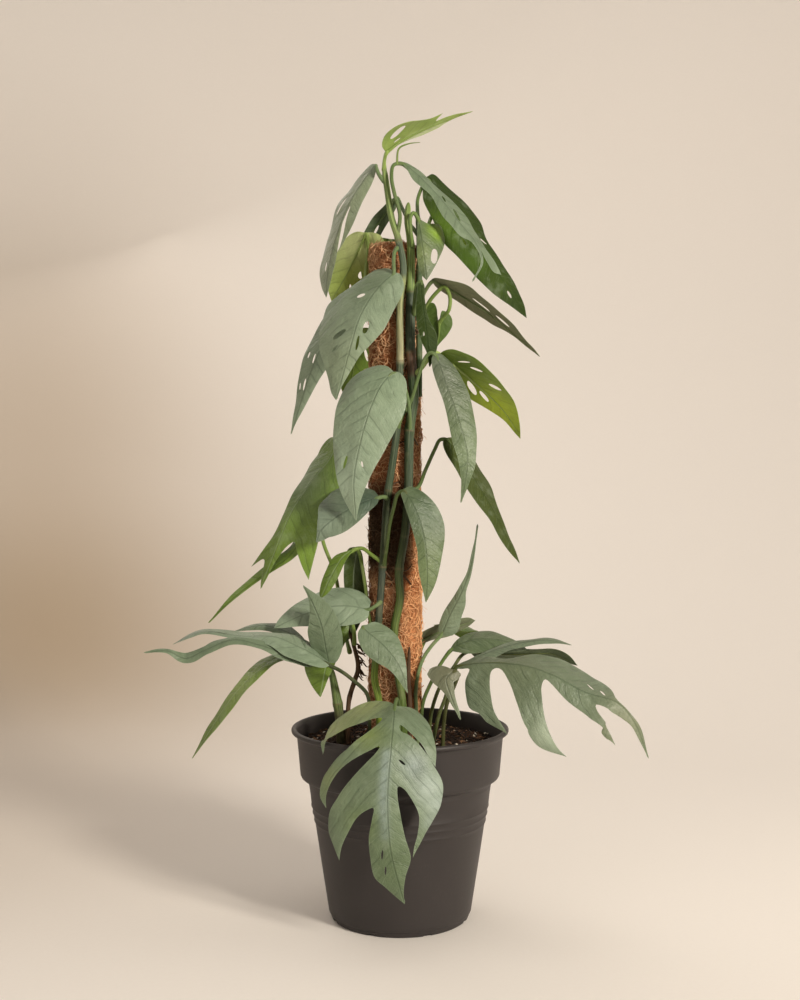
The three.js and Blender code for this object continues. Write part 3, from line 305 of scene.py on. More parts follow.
inner = [
    (101.0, 181.6), (100.2, 180.4), (99.6, 178), (98.2, 173), (97.0, 160), (95.4, 144), (94.6, 140), (93.6, 137.6),
    (91.4, 136.4), (88.6, 135.6), (87.4, 133), (85.6, 122), (80.4, 90), (66.6, 4), (65.2, 2.5), (62, 2.4), (0, 2.4),
]


def mesh_of(body, name):
    mesh = bpy.data.meshes.new(name)
    body.to_mesh(mesh)
    body.free()
    return mesh


def turn_profile(points, sides):
    """A body turned round the upright axis, closed where its first and last points lie on the axis."""
    body = bmesh.new()
    angles = [2 * math.pi * j / sides for j in range(sides)]
    rings = [[body.verts.new((radius * MM * math.cos(a), radius * MM * math.sin(a), height * MM))
              for a in (angles if radius else [0])] for radius, height in points]
    for low, high in zip(rings, rings[1:]):
        for j in range(sides):
            corners = [low[j % len(low)], low[(j + 1) % len(low)], high[(j + 1) % len(high)], high[j % len(high)]]
            body.faces.new(list(dict.fromkeys(corners)))
    bmesh.ops.recalc_face_normals(body, faces=body.faces)
    return mesh_of(body, "turned")


def box_at(reach, size, turn):
    """A box at this reach from the axis, turned about it, used as a cutter."""
    body = bmesh.new()
    place = Matrix.Rotation(turn, 4, "Z") @ Matrix.Translation((reach * MM, 0, 0))
    bmesh.ops.create_cube(body, size=1, matrix=place @ Matrix.Diagonal((*[s * MM for s in size], 1)))
    return mesh_of(body, "cutter")


print(len(outside + inner), "points in the pot's profile")

# %% Pot mesh
DRAINS, DRAIN_REACH, FOOT = 8, 44, 68.5
turns = [2 * math.pi * (j + 0.5) / DRAINS for j in range(DRAINS)]
cutters = [box_at(FOOT, (9, 8, 4.4), turn) for turn in turns]
for turn in turns:
    hole = turn_profile([(0, -1), (5, -1), (5, 4), (0, 4)], 28)
    hole.transform(Matrix.Translation((DRAIN_REACH * MM * math.cos(turn), DRAIN_REACH * MM * math.sin(turn), 0)))
    cutters.append(hole)
pot = from_mesh("pot_shell", turn_profile(outside + inner, 144))
holes = merge("holes", [from_mesh("tool", mesh) for mesh in cutters])
cut = pot.modifiers.new("holes", "BOOLEAN")
cut.operation, cut.solver, cut.object = "DIFFERENCE", "EXACT", holes
pot = baked(pot)
bpy.data.objects.remove(holes)
pot.data.shade_smooth()
pot.data.set_sharp_from_angle(angle=math.radians(50))
print("pot", len(pot.data.vertices), "points,", DRAINS, "drain holes")

# %% [markdown]
# ### Pot plastic
#
# Recycled dark plastic is never pure black: it is a warm charcoal with a faint bloom, a satin gloss and very fine marks
# that run round it from the mould. Noise stretched round the pot gives the marks, and a slow noise varies the gloss.

# %% Pot plastic
plastic = Paint("pot_plastic", Specular_IOR_Level=0.3)
where = plastic.place()
cloudy = plastic.noise(where, 22, 4)
fine = plastic.grain((60, 60, 1400))
dusty = plastic.noise(where, 300, 3, 0.7).step(0.52, 0.75) * cloudy.step(0.42, 0.62)
base = plastic.layers(plastic.mix("#302c2b", "#393534", cloudy), ("#4c4642", dusty * 0.2))
plastic.feed(Base_Color=base, Roughness=cloudy * 0.16 + fine * 0.08 + 0.36)
plastic.bump(fine * 0.6 + plastic.noise(where, 500) * 0.5, 0.00012, 0.6)
pot.data.materials.append(plastic.material)
belongs(pot, "pot_plastic", "pot")

# %% [markdown]
# ## Soil
#
# Peat mix is dark, damp and loose: a lumpy surface, thousands of crumbs, a few white perlite grains and bits of bark.
# The lumpy bed is a turned body with noise on its top; the crumbs repeat, so Geometry Nodes scatter them.

# %% Soil bed
BED_EDGE, BED_TOP = 95.5, 164
bed_profile = [(0, 2.8), (65.6, 2.9), (80, 92), (86.4, 134.6), (93.6, 139.2), (95.6, 150), (96.6, 160), (96.4, 163)]
bed_profile += [(r, 166.5 + 2.0 * math.cos(r / 62)) for r in np.linspace(94.5, 1.5, 42)] + [(0, 168.5)]
bed = turn_profile(bed_profile, 120)
for corner in bed.vertices:
    spot = corner.co / MM
    if spot.z > BED_TOP and spot.xy.length < BED_EDGE:
        rise = 2.2 * noise.noise(spot * 0.045) + 1.5 * noise.noise(spot * 0.13) + 0.8 * noise.noise(spot * 0.4)
        corner.co.z += rise * MM
soil_bed = from_mesh("soil_bed", bed)
print("soil bed", len(bed.vertices), "points")

# %% Crumbs on the soil
nodes, given = group_of("crumbs", Density=60000.0, Small=0.0006, Large=0.0018, Seed=1, Flat=0.7, Material=None)
up = nodes.node("ShaderNodeSeparateXYZ", {"Vector": nodes.node("GeometryNodeInputNormal")}, "Z")
spread = nodes.node("GeometryNodeDistributePointsOnFaces", {
    "Mesh": given["Geometry"], "Density": given["Density"], "Seed": given["Seed"],
    "Selection": nodes.node("FunctionNodeCompare", {0: up, 1: 0.5}, operation="GREATER_THAN"),
})
crumb = nodes.node("GeometryNodeMeshIcoSphere", {"Radius": 1.0, "Subdivisions": 1})
size = nodes.chance(given["Small"], given["Large"], 5)
scale = nodes.vector(size, size * nodes.chance(0.6, 1.0, 6), size * given["Flat"])
turn = nodes.vector(nodes.chance(-0.9, 0.9, 7), nodes.chance(-0.9, 0.9, 8), nodes.chance(0, 6.28, 9))
turn = nodes.node("FunctionNodeEulerToRotation", {"Euler": turn})
crumbs = copies_on(nodes, given, spread, crumb, turn, scale, 10)
print(crumbs.name, len(crumbs.nodes), "nodes")

# %% [markdown]
# ### Earth, bark and perlite
#
# Three finishes: near-black peat with browner crumbs, lighter bark chips, and off-white perlite.

# %% Soil materials
peat = Paint("peat", Specular_IOR_Level=0.25)
where = peat.place()
shade = peat.noise(where, 240, 4, 0.6)
earth = peat.mix("#1b120d", "#3b281b", shade.step(0.35, 0.7))
earth = peat.mix(earth, "#5a3d28", peat.read("tone").step(0.72, 1.0) * 0.7)
peat.feed(Base_Color=earth, Roughness=shade * 0.2 + 0.78)
peat.bump(peat.noise(where, 900, 3), 0.0005, 0.7)
perlite, bark_chip = Paint("perlite", Roughness=0.9), Paint("bark_chip", Roughness=0.85)
perlite.feed(Base_Color=perlite.mix("#b9ae9c", "#e6dfd2", perlite.read("tone")))
bark_chip.feed(Base_Color=bark_chip.mix("#4a3122", "#84603f", bark_chip.read("tone")))
print("peat", len(peat.tree.nodes), "nodes")

# %% Scatter the soil
loose = [
    strewn(bed, crumbs, peat, Density=120000.0, Large=0.0024),
    strewn(bed, crumbs, bark_chip, Density=9000.0, Small=0.0012, Large=0.004, Flat=0.25, Seed=4),
    strewn(bed, crumbs, perlite, Density=6500.0, Small=0.0007, Large=0.0021, Seed=7),
]
soil_bed.data.materials.append(peat.material)
soil_bed.data.shade_smooth()
belongs(merge("soil_mix", [soil_bed, *loose]), "potting_soil", "soil")

# %% [markdown]
# ## Coir pole
#
# The plant climbs a stake wrapped in coconut fibre. The wrap is a rough brown sleeve; what the eye reads is the
# thousands of fibres that lie on it every which way, and the loose ones at its edges. The sleeve is a displaced
# cylinder, and Geometry Nodes lay the fibres on it, each a short bent strand.

# %% Coir sleeve
POLE_X, POLE_R, POLE_TOP = -5.0, 23.0, 646.0
sleeve_profile = [(0, 61)] + [(POLE_R, z) for z in np.linspace(61, 641, 140)]
sleeve_profile += [(21.6, 644), (19, 645.4), (13, POLE_TOP), (6, POLE_TOP), (0, POLE_TOP)]
sleeve = turn_profile(sleeve_profile, 72)
for corner in sleeve.vertices:
    spot = corner.co / MM
    outwards = Vector((spot.x, spot.y, 0)).normalized()
    rough = 1.1 * noise.noise(spot * 0.055) + 0.9 * noise.noise(spot * 0.16) + 0.5 * noise.noise(spot * 0.5)
    side = max(0.0, outwards.x) * max(0.0, math.sin((spot.z - 200) / 70)) if spot.z < 420 else 0.0
    corner.co += outwards * (rough + 1.1 * side) * MM + Vector((POLE_X * MM, 0, 0))
pole = from_mesh("coir_bed", sleeve)
print("coir sleeve", len(sleeve.vertices), "points")

# %% Coir fibres
nodes, given = group_of("fibres", Density=60000.0, Short=0.007, Long=0.019, Lift=0.16, Thick=0.034, Seed=1,
                        Material=None)
spread = nodes.node("GeometryNodeDistributePointsOnFaces", {
    "Mesh": given["Geometry"], "Density": given["Density"], "Seed": given["Seed"]})
upright = Value(nodes, spread.socket.node.outputs["Rotation"])
bend = nodes.node("GeometryNodeCurveQuadraticBezier", {
    "Resolution": 3, "Start": (-0.5, -0.25, 0), "Middle": (0, 0.5, 0.35), "End": (0.5, -0.25, 0.02)})
ring = nodes.node("GeometryNodeCurvePrimitiveCircle", {"Resolution": 3, "Radius": 1.0})
strand = nodes.node("GeometryNodeCurveToMesh", {
    "Curve": bend, "Profile Curve": ring, "Scale": given["Thick"], "Fill Caps": True})
lift = nodes.chance(given["Lift"] * -1, given["Lift"], 3)
tilt = nodes.vector(nodes.chance(-0.15, 0.15, 2), lift, nodes.chance(0, 6.28, 4))
tilt = nodes.node("FunctionNodeEulerToRotation", {"Euler": tilt})
turned = nodes.node("FunctionNodeRotateRotation", {"Rotation": upright, "Rotate By": tilt}, rotation_space="LOCAL")
width = nodes.chance(0.006, 0.016, 6)
size = nodes.vector(nodes.chance(given["Short"], given["Long"], 5), width, width)
fibres = copies_on(nodes, given, spread, strand, turned, size, 7)
print(fibres.name, len(fibres.nodes), "nodes")

# %% [markdown]
# ### Coir colour
#
# Coconut fibre is orange-brown where it is fresh and dark where it is damp or shaded. The tone of each strand is drawn
# at random, and a slow noise makes damp and dry areas. The lower right side, where the lamp falls, is painted lighter
# as painted light, and a patch on the front halfway up, under the leaves, is painted dark as painted shade.

# %% Coir material
coir = Paint("coir", Specular_IOR_Level=0.2)
where, tone = coir.place(), coir.read("tone")
parts = coir.node("ShaderNodeSeparateXYZ", {"Vector": where})
across, deep, high = [Value(coir, parts.socket.node.outputs[axis]) for axis in "XYZ"]
damp = coir.noise(where, 38, 3).step(0.4, 0.66)
# painted light: the lower right side of the pole, which the lamp lights, is made lighter
lit_side = across.step(-0.006, 0.012) * high.step(0.40, 0.30)
# painted shade: a patch on the front of the pole halfway up, under the leaves, is painted near-black
shade = high.step(0.315, 0.345) * high.step(0.43, 0.4) * across.step(0.014, 0.002) * deep.step(0.004, -0.008)
mixed = tone * 1.1 + coir.noise(where, 700) * 0.35 - damp * 0.25 - 0.05
lit_side_colour = coir.mix("#ac683a", "#fac08a", mixed + 0.15)
brown = coir.layers(coir.mix("#aa6c44", "#fccea0", mixed), ("#e8bd8e", tone.step(0.8, 1.0) * 0.7),
                    (lit_side_colour, lit_side * 0.85), ("#1c140a", shade * 0.88))
coir.feed(Base_Color=brown, Roughness=tone * 0.1 + 0.84)
coir.bump(coir.noise(where, 1400, 3, 0.7), 0.0009, 0.9)
print("coir", len(coir.tree.nodes), "nodes")

# %% Dress the pole
loose = [
    strewn(sleeve, fibres, coir, Density=83000.0),
    strewn(sleeve, fibres, coir, Density=10500.0, Short=0.008, Long=0.022, Lift=0.85, Thick=0.014, Seed=9),
]
pole.data.materials.append(coir.material)
pole.data.shade_smooth()
belongs(merge("coir_wrap", [pole, *loose]), "coir", "pole_coir")

# %% Wooden stake
stake = Paint("stake_wood", Roughness=0.75)
stake.feed(Base_Color=stake.mix("#7a5534", "#b98a5a", stake.grain((220, 220, 9), 3)))
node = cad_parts["pole_core"]
node.data.materials.clear()
node.data.materials.append(stake.material)
print(node.name, "keeps its solid")

# %% [markdown]
# ## Stems
#
# The climbing stems are round and finely ridged, with a swollen pale joint wherever a leaf sits. Each one follows a
# path, so one Geometry Nodes group sweeps them all: a path of points that carry their own radius, with a ring swept
# along it. Joints are swellings in that radius.

# %% Swept tube
nodes, given = group_of("tube", Sides=14, Material=None)
path = nodes.node("GeometryNodeMeshToCurve", {"Mesh": given["Geometry"]})
length = nodes.node("GeometryNodeSplineParameter", out="Length")
path = nodes.node("GeometryNodeStoreNamedAttribute", {"Geometry": path, "Name": "along", "Value": length},
                  data_type="FLOAT")
ring = nodes.node("GeometryNodeCurvePrimitiveCircle", {"Resolution": given["Sides"], "Radius": 1.0})
ring = nodes.node("GeometryNodeStoreNamedAttribute", {
    "Geometry": ring, "Name": "round", "Value": nodes.node("GeometryNodeInputPosition")}, data_type="FLOAT_VECTOR")
reach = nodes.node("GeometryNodeInputNamedAttribute", {"Name": "radius"}, data_type="FLOAT")
swept = nodes.node("GeometryNodeCurveToMesh", {
    "Curve": path, "Profile Curve": ring, "Scale": reach, "Fill Caps": True})
tube_group = end_group(nodes, swept, given["Material"])


def smooth_line(points, step):
    """A smooth line through points, as samples a step apart, and how far along it each one lies."""
    given = np.asarray(points, float)
    held = np.vstack([2 * given[0] - given[1], given, 2 * given[-1] - given[-2]])
    made = []
    for p0, p1, p2, p3 in zip(held, held[1:], held[2:], held[3:]):
        t1 = np.linalg.norm(p1 - p0) ** 0.5
        t2 = t1 + np.linalg.norm(p2 - p1) ** 0.5
        t3 = t2 + np.linalg.norm(p3 - p2) ** 0.5
        t = np.linspace(t1, t2, 24, endpoint=False)[:, None]

        def between(a, b, start, end):
            return (end - t) / (end - start) * a + (t - start) / (end - start) * b

        a1, a2, a3 = between(p0, p1, 0, t1), between(p1, p2, t1, t2), between(p2, p3, t2, t3)
        made.append(between(between(a1, a2, 0, t2), between(a2, a3, t1, t3), t1, t2))
    line = np.vstack([*made, given[-1:]])
    far = np.concatenate([[0], np.cumsum(np.linalg.norm(np.diff(line, axis=0), axis=1))])
    where = np.linspace(0, far[-1], max(3, round(far[-1] / step)) + 1)
    return np.stack([np.interp(where, far, line[:, k]) for k in range(line.shape[1])], 1), where


def write(mesh, **values):
    """Stores a number or a colour for each point of the mesh."""
    for name, value in values.items():
        kind, field = ("FLOAT_COLOR", "color") if np.ndim(value) == 2 else ("FLOAT", "value")
        mesh.attributes.new(name, kind, "POINT").data.foreach_set(field, np.ravel(value))


def tube(name, line, radii, paint, tint, joint=0.0, sides=14, ridged=0.35):
    """A tube along line, in millimetres, with a radius for each of its points."""
    mesh, count = bpy.data.meshes.new(name), len(line)
    mesh.from_pydata((line * MM).tolist(), [(i, i + 1) for i in range(count - 1)], [])
    write(mesh, radius=radii * MM, joint=np.ones(count) * joint, ridged=np.full(count, ridged),
          tint=np.broadcast_to(tint, (count, 4)))
    made = with_nodes(from_mesh(name, mesh), tube_group, Sides=sides, Material=paint.material)
    made.data.shade_smooth()
    return made


def tapered(points, step, sizes, paint, tint, sides, bend=0.7):
    """A thin tube through points, with its radius at its start, at its bend and at its end."""
    line, far = smooth_line(points, step)
    return tube("tapered", line, np.interp(far / far[-1], [0, bend, 1], sizes), paint, colour(tint), sides=sides)


print(tube_group.name, len(tube_group.nodes), "nodes")

# %% [markdown]
# ### Stem finish
#
# Young stems are green with fine darker lines running along them, greyer where a dry skin remains, and pale at the
# joints. The tube's own ring position makes lines that follow the stem round every bend.

# %% Stem material
stem = Paint("stem_skin", Specular_IOR_Level=0.4)
tint, joint = stem.read("tint", "Color"), stem.read("joint")
around = stem.node("ShaderNodeVectorMath", {0: stem.read("round", "Vector"), "Scale": 8.0}, operation="SCALE")
upwards = stem.vector(0, 0, stem.read("along") * 22)
streaks = stem.noise(stem.node("ShaderNodeVectorMath", {0: around, 1: upwards}, operation="ADD"), 1.0, 3, 0.6)
patch = stem.noise(stem.place(), 70, 3)
skin = stem.layers(
    tint,
    (stem.mix(tint, "#1c2616", 0.7), streaks.step(0.6, 0.4) * stem.read("ridged")),
    (stem.mix(tint, "#c3c79c", 0.4), streaks.step(0.56, 0.7) * 0.6),
    ("#8a8a68", patch.step(0.55, 0.72) * 0.25),
    ("#6d5a3c", joint.step(0.75, 0.97) * 0.6),
)
stem.feed(Base_Color=skin, Roughness=streaks * 0.2 + patch * 0.15 + 0.3)
stem.bump(streaks + joint * 0.3, 0.0007, 0.9)
old = Paint("stem_bark", Specular_IOR_Level=0.2)
lines = old.grain((500, 500, 60), 4, 0.65)
old.feed(Base_Color=old.mix("#2c2118", "#6a523c", lines), Roughness=lines * 0.2 + 0.7)
old.bump(lines, 0.0008, 0.9)
print("stem skin", len(stem.tree.nodes), "nodes")

# %% Climbing stems
# On both climbing stems the darkest band, from about 340 to 406 mm, is painted shade where they pass under the leaves.
STEMS = [
    measured("vine_left",
             joints="410 532 338 645", radii="3.3 3.4 3.6 3.5 3.4 2.8",
             tints="150 #96b438, 232 #8fae3a, 262 #5f7a35, 290 #414c3c, 334 #394438, 340 #33421c, 406 #2c3a18, "
                   "413 #43563c, 528 #47583f, 533 #b9b48c, 608 #a9b478, 614 #5b6d54, 642 #5b6d54, 650 #8aa35a, "
                   "717 #9ab36a",
             line="-20 -31 150, -20 -31 212, -24 -29 231, -22 -28 262, -20 -28 290, -17 -29 330, -14 -30 372, "
                  "-12 -30 403, -8 -31 430, -3 -31 466, 0 -31 528, 0 -31 586, 3 -33 622, -2 -32 648, -8 -30 668, "
                  "-12 -28 694, -15 -25 716"),
    measured("vine_right",
             joints="336 408 466 541 598", radii="3.8 3.8 4 4.3 4.9 4.5 2.8",
             tints="150 #5f7a2c, 290 #5a6e2c, 335 #48562a, 345 #3a4a20, 405 #2f3d1a, 411 #3f5238, 463 #3f5238, "
                   "468 #4f6640, 516 #4f6640, 521 #5a3d28, 539 #6a4a34, 544 #4a5a45, 596 #4a5a45, 601 #86a052, "
                   "684 #93ac5c",
             line="4 -34 150, 2 -32 212, -1 -31 232, -5 -30 256, -5 -30 281, 0 -30 308, -1 -30 333, 5 -29 372, "
                  "8 -28 414, 9 -28 467, 13 -26 500, 10 -25 540, 10 -25 590, 10 -25 644, 7 -24 668, 8 -22 684"),
    measured("vine_rear",
             joints="560 640", radii="2.6 3.1 3.1 3 2.4", tints="0 #4f6a3e",
             line="18.6 -13.8 500, 18.3 -13.6 560, 18.3 -13.6 610, 18.4 -13.4 650, 17 -10 676"),
    measured("vine_back",
             joints="200 300 372 400 506 548", radii="3.8 3.6 3.6 3.4 2.4", tints="0 #4f6a3e",
             line="-4 34 150, -9 31 230, -2 31 330, -8 31 430, -2 31 520, -7 31 600, -5 30 628"),
    measured("shoot_left",
             joints="205", radii="4.8 5 4.4 2.8", tints="150 #4a4228, 190 #564f30, 208 #667c3c, 241 #6b8340",
             line="-55 -9 150, -58 -10 192, -63 -10 222, -67 -10 241"),
    measured("old_stem",
             joints="185 212 240 262", radii="2.6 2.4 2.2 2.4 2 1.3", tints="0 #6a4e38",
             line="-49 -16 150, -49 -14 208, -43 -14 229, -40 -14 240, -45 -14 264, -50 -13 279"),
    measured("root_right",
             joints="200", radii="2.8 2.6 2.4 1.4", tints="0 #6a4e38",
             line="9 -29 150, 9 -28 206, 8 -28 236, 9 -27 262"),
]
BARKED, BROWN, SHOOT = ("old_stem", "root_right"), "#6a4e38", "#86a052"
chance_of = random.Random(11)
joints = []
for spec in STEMS:
    line, far = smooth_line(spec["line"], 2.0)
    (heights,), (radii,) = spec["joints"], spec["radii"]
    radius = np.interp(far / far[-1], np.linspace(0, 1, len(radii)), radii)
    joint = np.zeros(len(line))
    for height in heights:
        joint = np.maximum(joint, np.exp(-(((line[:, 2] - height) / 2.6) ** 2)))
        joints.append((spec["name"], line[int(np.argmin(abs(line[:, 2] - height)))]))
    radius = radius * (1 + 0.13 * joint)
    radius[-4:] *= [0.95, 0.85, 0.65, 0.3]
    levels, tones = zip(*[(height, colour(tone)) for height, tone in spec["tints"]])
    tints = np.stack([np.interp(line[:, 2], levels, channel) for channel in zip(*tones)], 1)
    paint, slot = (old, "stem_brown") if spec["name"] in BARKED else (stem, "stem_green")
    skin = tube(spec["name"] + "_skin", line, radius, paint, tints, joint, sides=18, ridged=0.9)
    belongs(skin, slot, spec["name"])

# %% [markdown]
# ### Clinging roots
#
# Each joint sends out brown roots that grip the coir. A few tapering tubes at each joint, bent back to the pole, are
# enough; they repeat, but each must reach the pole from its own place, so a loop of plain code aims them. The old stem
# has a tuft of short rootlets as well.

# %% Clinging roots
GRIP, LOWEST, HIGHEST, ROOTLETS = 23.6, 190, 640, 16
axis = np.array([POLE_X, 0])
roots = []
for name, spot in joints:
    if not name.startswith("vine") or spot[2] < LOWEST or spot[2] > HIGHEST:
        continue
    for k in range(chance_of.choice([2, 3, 4])):
        away = math.atan2(spot[1], spot[0] - POLE_X) + chance_of.uniform(-0.5, 0.5) * (1 + 0.5 * k)
        low = spot[2] + chance_of.uniform(-22, 14)
        foot = np.array([POLE_X + GRIP * math.cos(away), GRIP * math.sin(away), low])
        middle = (spot + foot) / 2 + np.array([0.13 * (spot[0] - POLE_X), 0.13 * spot[1], chance_of.uniform(-4, 3)])
        end = foot + np.array([chance_of.uniform(-5, 5), 0, -chance_of.uniform(3, 14)])
        end[:2] = axis + (end[:2] - axis) / np.linalg.norm(end[:2] - axis) * (GRIP + 0.3)
        size = chance_of.uniform(0.5, 1.0)
        roots.append(tapered([spot, middle, foot, end], 2.0, [size * 1.3, size, 0.2], old, BROWN, 7))
for k in range(ROOTLETS):
    start = np.array([-42 + chance_of.uniform(-2, 2), -14, 233 + 2.0 * k])
    away = chance_of.uniform(-0.9, 0.9)
    reach = chance_of.uniform(4, 12) * np.array([math.cos(away), math.sin(away), 0]) - [0, 0, chance_of.uniform(1, 7)]
    side = np.array([0, 0, chance_of.uniform(-2, 2)])
    knots = [start, start + reach * 0.4 + side, start + reach * 0.8 - side, start + reach - [0, 0, 1]]
    roots.append(tapered(knots, 1.5, [0.9, 0.7, 0.25], old, BROWN, 7))
belongs(merge("clinging_roots", roots), "stem_brown")

# %% [markdown]
# ## Leaves
#
# Every leaf has its own outline, with its own holes, notches and lobes, so no two can share a mesh. A blade is drawn
# flat first: a midrib, a margin on each side of it and slits. Flat triangles fill that outline, a bending surface
# carries them into space, and thickness is added both ways. Modelling each leaf by hand would give the same thing with
# much more work; a texture with cut-outs would look right from the front only.
#
# Each leaf below has its colours' names for the upper face and the underside, and its measures in millimetres: the
# midrib's line in space, the direction its upper face looks at its base and tip, the fold and the curl of each half in
# degrees, the margin of each half as rows of along and out, with a 1 for a sharp corner, the slits as rows of two ends
# and a half width, and the stalk's line up to the blade. A leaf on the far side has a plain outline and needs a width.

# %% Leaf table
LEAVES = []


def leaf(name, look, tints, lobes=(), lobe_tints=None, stalk_tint=None, **texts):
    """Puts one leaf in the list."""
    looks = dict(look=look, tints=tints, lobes=lobes, lobe_tints=lobe_tints or tints, stalk_tint=stalk_tint)
    LEAVES.append(measured(name, **texts) | looks)


leaf("leaf_top", "green", "lime lemon",
     line="-14 -6 737, -2 -10 745, 19 -16 754, 43 -22 762, 69 -28 769", face="-0.3 0.12 0.94, -0.25 0.1 0.95",
     fold="0 0", curl="27 27", right="2 14, 9 28, 17 38, 26 42, 37 38, 46 28, 56 20, 66 18 1, 57 8, 67 6, 79 5",
     left="6 5, 16 7, 29 8, 41 10, 54 9, 65 5, 79 2", slits="13 14 31 31 4.4, 12 4 20 6 1.1",
     stalk="-15 -25 713, -15 -19 724")
leaf("leaf_upper_left", "grey", "silver silver",
     line="-23 -14 723, -36 -18 704, -49 -22 682, -61 -26 648, -68 -28 617, -70 -26 593",
     face="-0.62 -0.72 0.3, -0.7 -0.6 0.3", right="1 8, 16 14, 32 18, 44 24, 57 21, 76 18, 98 20, 119 17, 133 11",
     left="8 6, 22 11, 42 14, 64 16, 82 12, 98 8 1, 78 7, 50 3, 60 1.5, 84 4, 104 7, 123 6",
     slits="40 12 59 14 1.6, 107 6 117 5 0.8", stalk="-14 -26 702, -20 -25 710, -23 -20 719")
leaf("leaf_cupped", "green", "lime lemon",
     line="-33 12 663, -42 16 645, -53 20 623, -68 22 598", face="0.1 0.98 0.1", fold="-22 -22", curl="-67 -67",
     right="-2 3, -4 13, 1 22, 13 28, 32 25, 52 17, 67 8", left="3 10, 9 17, 16 21, 27 23, 35 23, 53 17, 66 10",
     slits="36 12 42 15 2.4, 51 8 56 11 0.9",
     stalk="1 -32 600, -8 -34 606, -20 -30 607, -32 -12 608, -33 2 625, -31 10 648")
leaf("leaf_behind_cupped", "dark", "fern fern",
     line="-3 26 702, -15 30 686, -30 34 665, -48 36 633", face="-0.3 0.9 0.3",
     right="7 5, 19 7, 32 8, 47 9, 66 8, 78 3", left="6 4, 16 6, 28 8, 40 8, 59 7, 73 4", slits="33 1.5 45 3 1",
     stalk="18 -13 655, 10 -5 667, 3 11 685")
leaf("leaf_upper_right", "grey", "sage moss",
     line="1 -22 723, 19 -26 707, 40 -32 683, 58 -36 659, 71 -38 642, 77 -38 625, 68 -36 606",
     face="0.35 -0.75 0.55, 0.5 -0.7 0.4",
     right="11 4, 22 8, 36 7, 48 6, 62 10, 72 12, 83 10, 96 9, 105 4, 117 2, 131 1",
     left="4 5, 13 7, 29 10, 48 12, 66 16, 84 17, 101 13, 117 11, 126 19, 131 27 1, 131 14, 124 4, 116 2, 129 1.5",
     slits="51 -6 59 -3 1.3, 68 -6 83 -2 1.8", stalk="-3 -31 650, 0 -35 668, -5 -36 688, -8 -34 704, -6 -28 718",
     tendril="-3 -26 719, -1 -30 733, 8 -32 737, 19 -33 738")
leaf("leaf_dark_right", "dark", "dark leaf",
     line="26 20 720, 49 14 687, 76 10 648, 102 8 613, 124 10 579", face="0.4 -0.8 0.45",
     right="2 7, 10 12, 21 19, 41 23, 66 28, 83 25, 102 23, 117 22, 133 18, 145 13, 158 7",
     left="-1 12, 9 18, 26 28, 45 33, 64 33, 79 26, 100 20, 123 16, 141 15, 156 10",
     slits="73 8 81 9 1.4, 79 -14 88 -18 1.2, 112 -4 120 -4 1.3, 140 2 148 3 1.2",
     stalk="18 -11 668, 17 2 682, 18 14 699")
leaf("leaf_folded", "grey", "moss grass",
     line="17 -31 667, 20 -36 646, 23 -39 625, 25 -38 607", face="0.1 -0.95 0.25, 0.1 -0.95 0.2", fold="14 14",
     curl="87 87", right="9 2, 21 4, 35 6, 48 6, 56 4", left="4 10, 3 19, 4 26, 15 28, 26 25, 39 17, 53 7",
     slits="31 -13 46 -9 3.6", stalk="12 -28 640, 10 -33 655, 10 -33 668, 13 -32 672")
leaf("leaf_right_reach", "dark", "sage khaki",
     line="30 -28 610, 52 -20 600, 79 -12 585, 106 -8 564, 135 -8 539", face="0.35 0.28 0.88", fold="4 4",
     curl="13 27", right="1 8, 16 21, 30 27, 46 24, 63 19, 81 17, 97 14, 115 8",
     left="9 9, 21 12, 36 13, 50 13, 64 13, 76 12, 88 6, 100 3, 115 2", slits="42 9 65 4 1.5, 71 6 89 5 1.6",
     stalk="20 -15 590, 23 -22 598")
leaf("leaf_hanging_dark", "dark", "dark dark",
     line="20 -46 606, 20 -46 592, 24 -45 564, 28 -42 525", face="0.15 -0.95 0.25, 0.2 -0.95 0.2",
     right="3 3, 11 4, 27 7, 39 8, 56 6, 67 2", left="5 3, 16 3, 28 3, 37 4, 46 8, 54 10, 64 9, 73 5",
     slits="48 3 52 3 0.8", stalk="13 -27 576, 14 -38 590, 16 -44 602")
leaf("leaf_heart", "green", "leaf leaf",
     line="37 -22 570, 37 -20 560, 35 -16 547", face="0.1 0.9 0.4", fold="-15 -15",
     right="-7 1.5, -11 3, -10 7, -5 12, 3 13, 10 9, 17 4",
     left="-6 1.5, -12 2, -18 5, -18 10, -13 12, -2 12, 10 9, 19 4",
     stalk="20 -15 576, 31 -23 594, 42 -30 602, 47 -34 592, 46 -34 580, 42 -28 575")
leaf("leaf_grey_left", "grey", "silver sage",
     line="-5 -40 614, -18 -47 601, -30 -53 584, -39 -57 565, -46 -59 540, -59 -57 493",
     face="-0.3 -0.85 0.45, -0.35 -0.9 0.2",
     right="-3 10, -1 19, 3 25, 15 26, 27 31, 40 42, 50 50, 62 49, 76 45, 95 38, 105 29, 118 18, 132 8",
     left="-2 4, 1 11, 8 19, 21 24, 36 26, 62 26, 81 18, 91 12, 109 6, 124 2",
     slits="39 15 34 8 1.8, 82 23 71 11 2.8, 95 20 87 15 1.4, 72 -9 59 -9 2.6, 89 -6 75 -5 1.3",
     stalk="-1 -31 640, -5 -38 634, -6 -41 624")
leaf("leaf_grey_left_back", "grey", "silver sage",
     line="-52 2 593, -68 -4 565, -85 -10 526, -95 -12 495, -105 -10 464", face="-0.45 -0.8 0.3, -0.45 -0.8 0.25",
     right="0 10, 10 17, 30 18, 53 20, 80 15, 106 9, 125 4", left="7 10, 28 18, 53 18, 74 14, 93 9, 113 5, 127 2",
     slits="58 13 65 11 0.9, 59 4 69 2 1, 85 3.5 97 2 1.1, 90 9 97 7 0.8",
     stalk="0 -30 586, -10 -31 594, -29 -24 599, -44 -8 600")
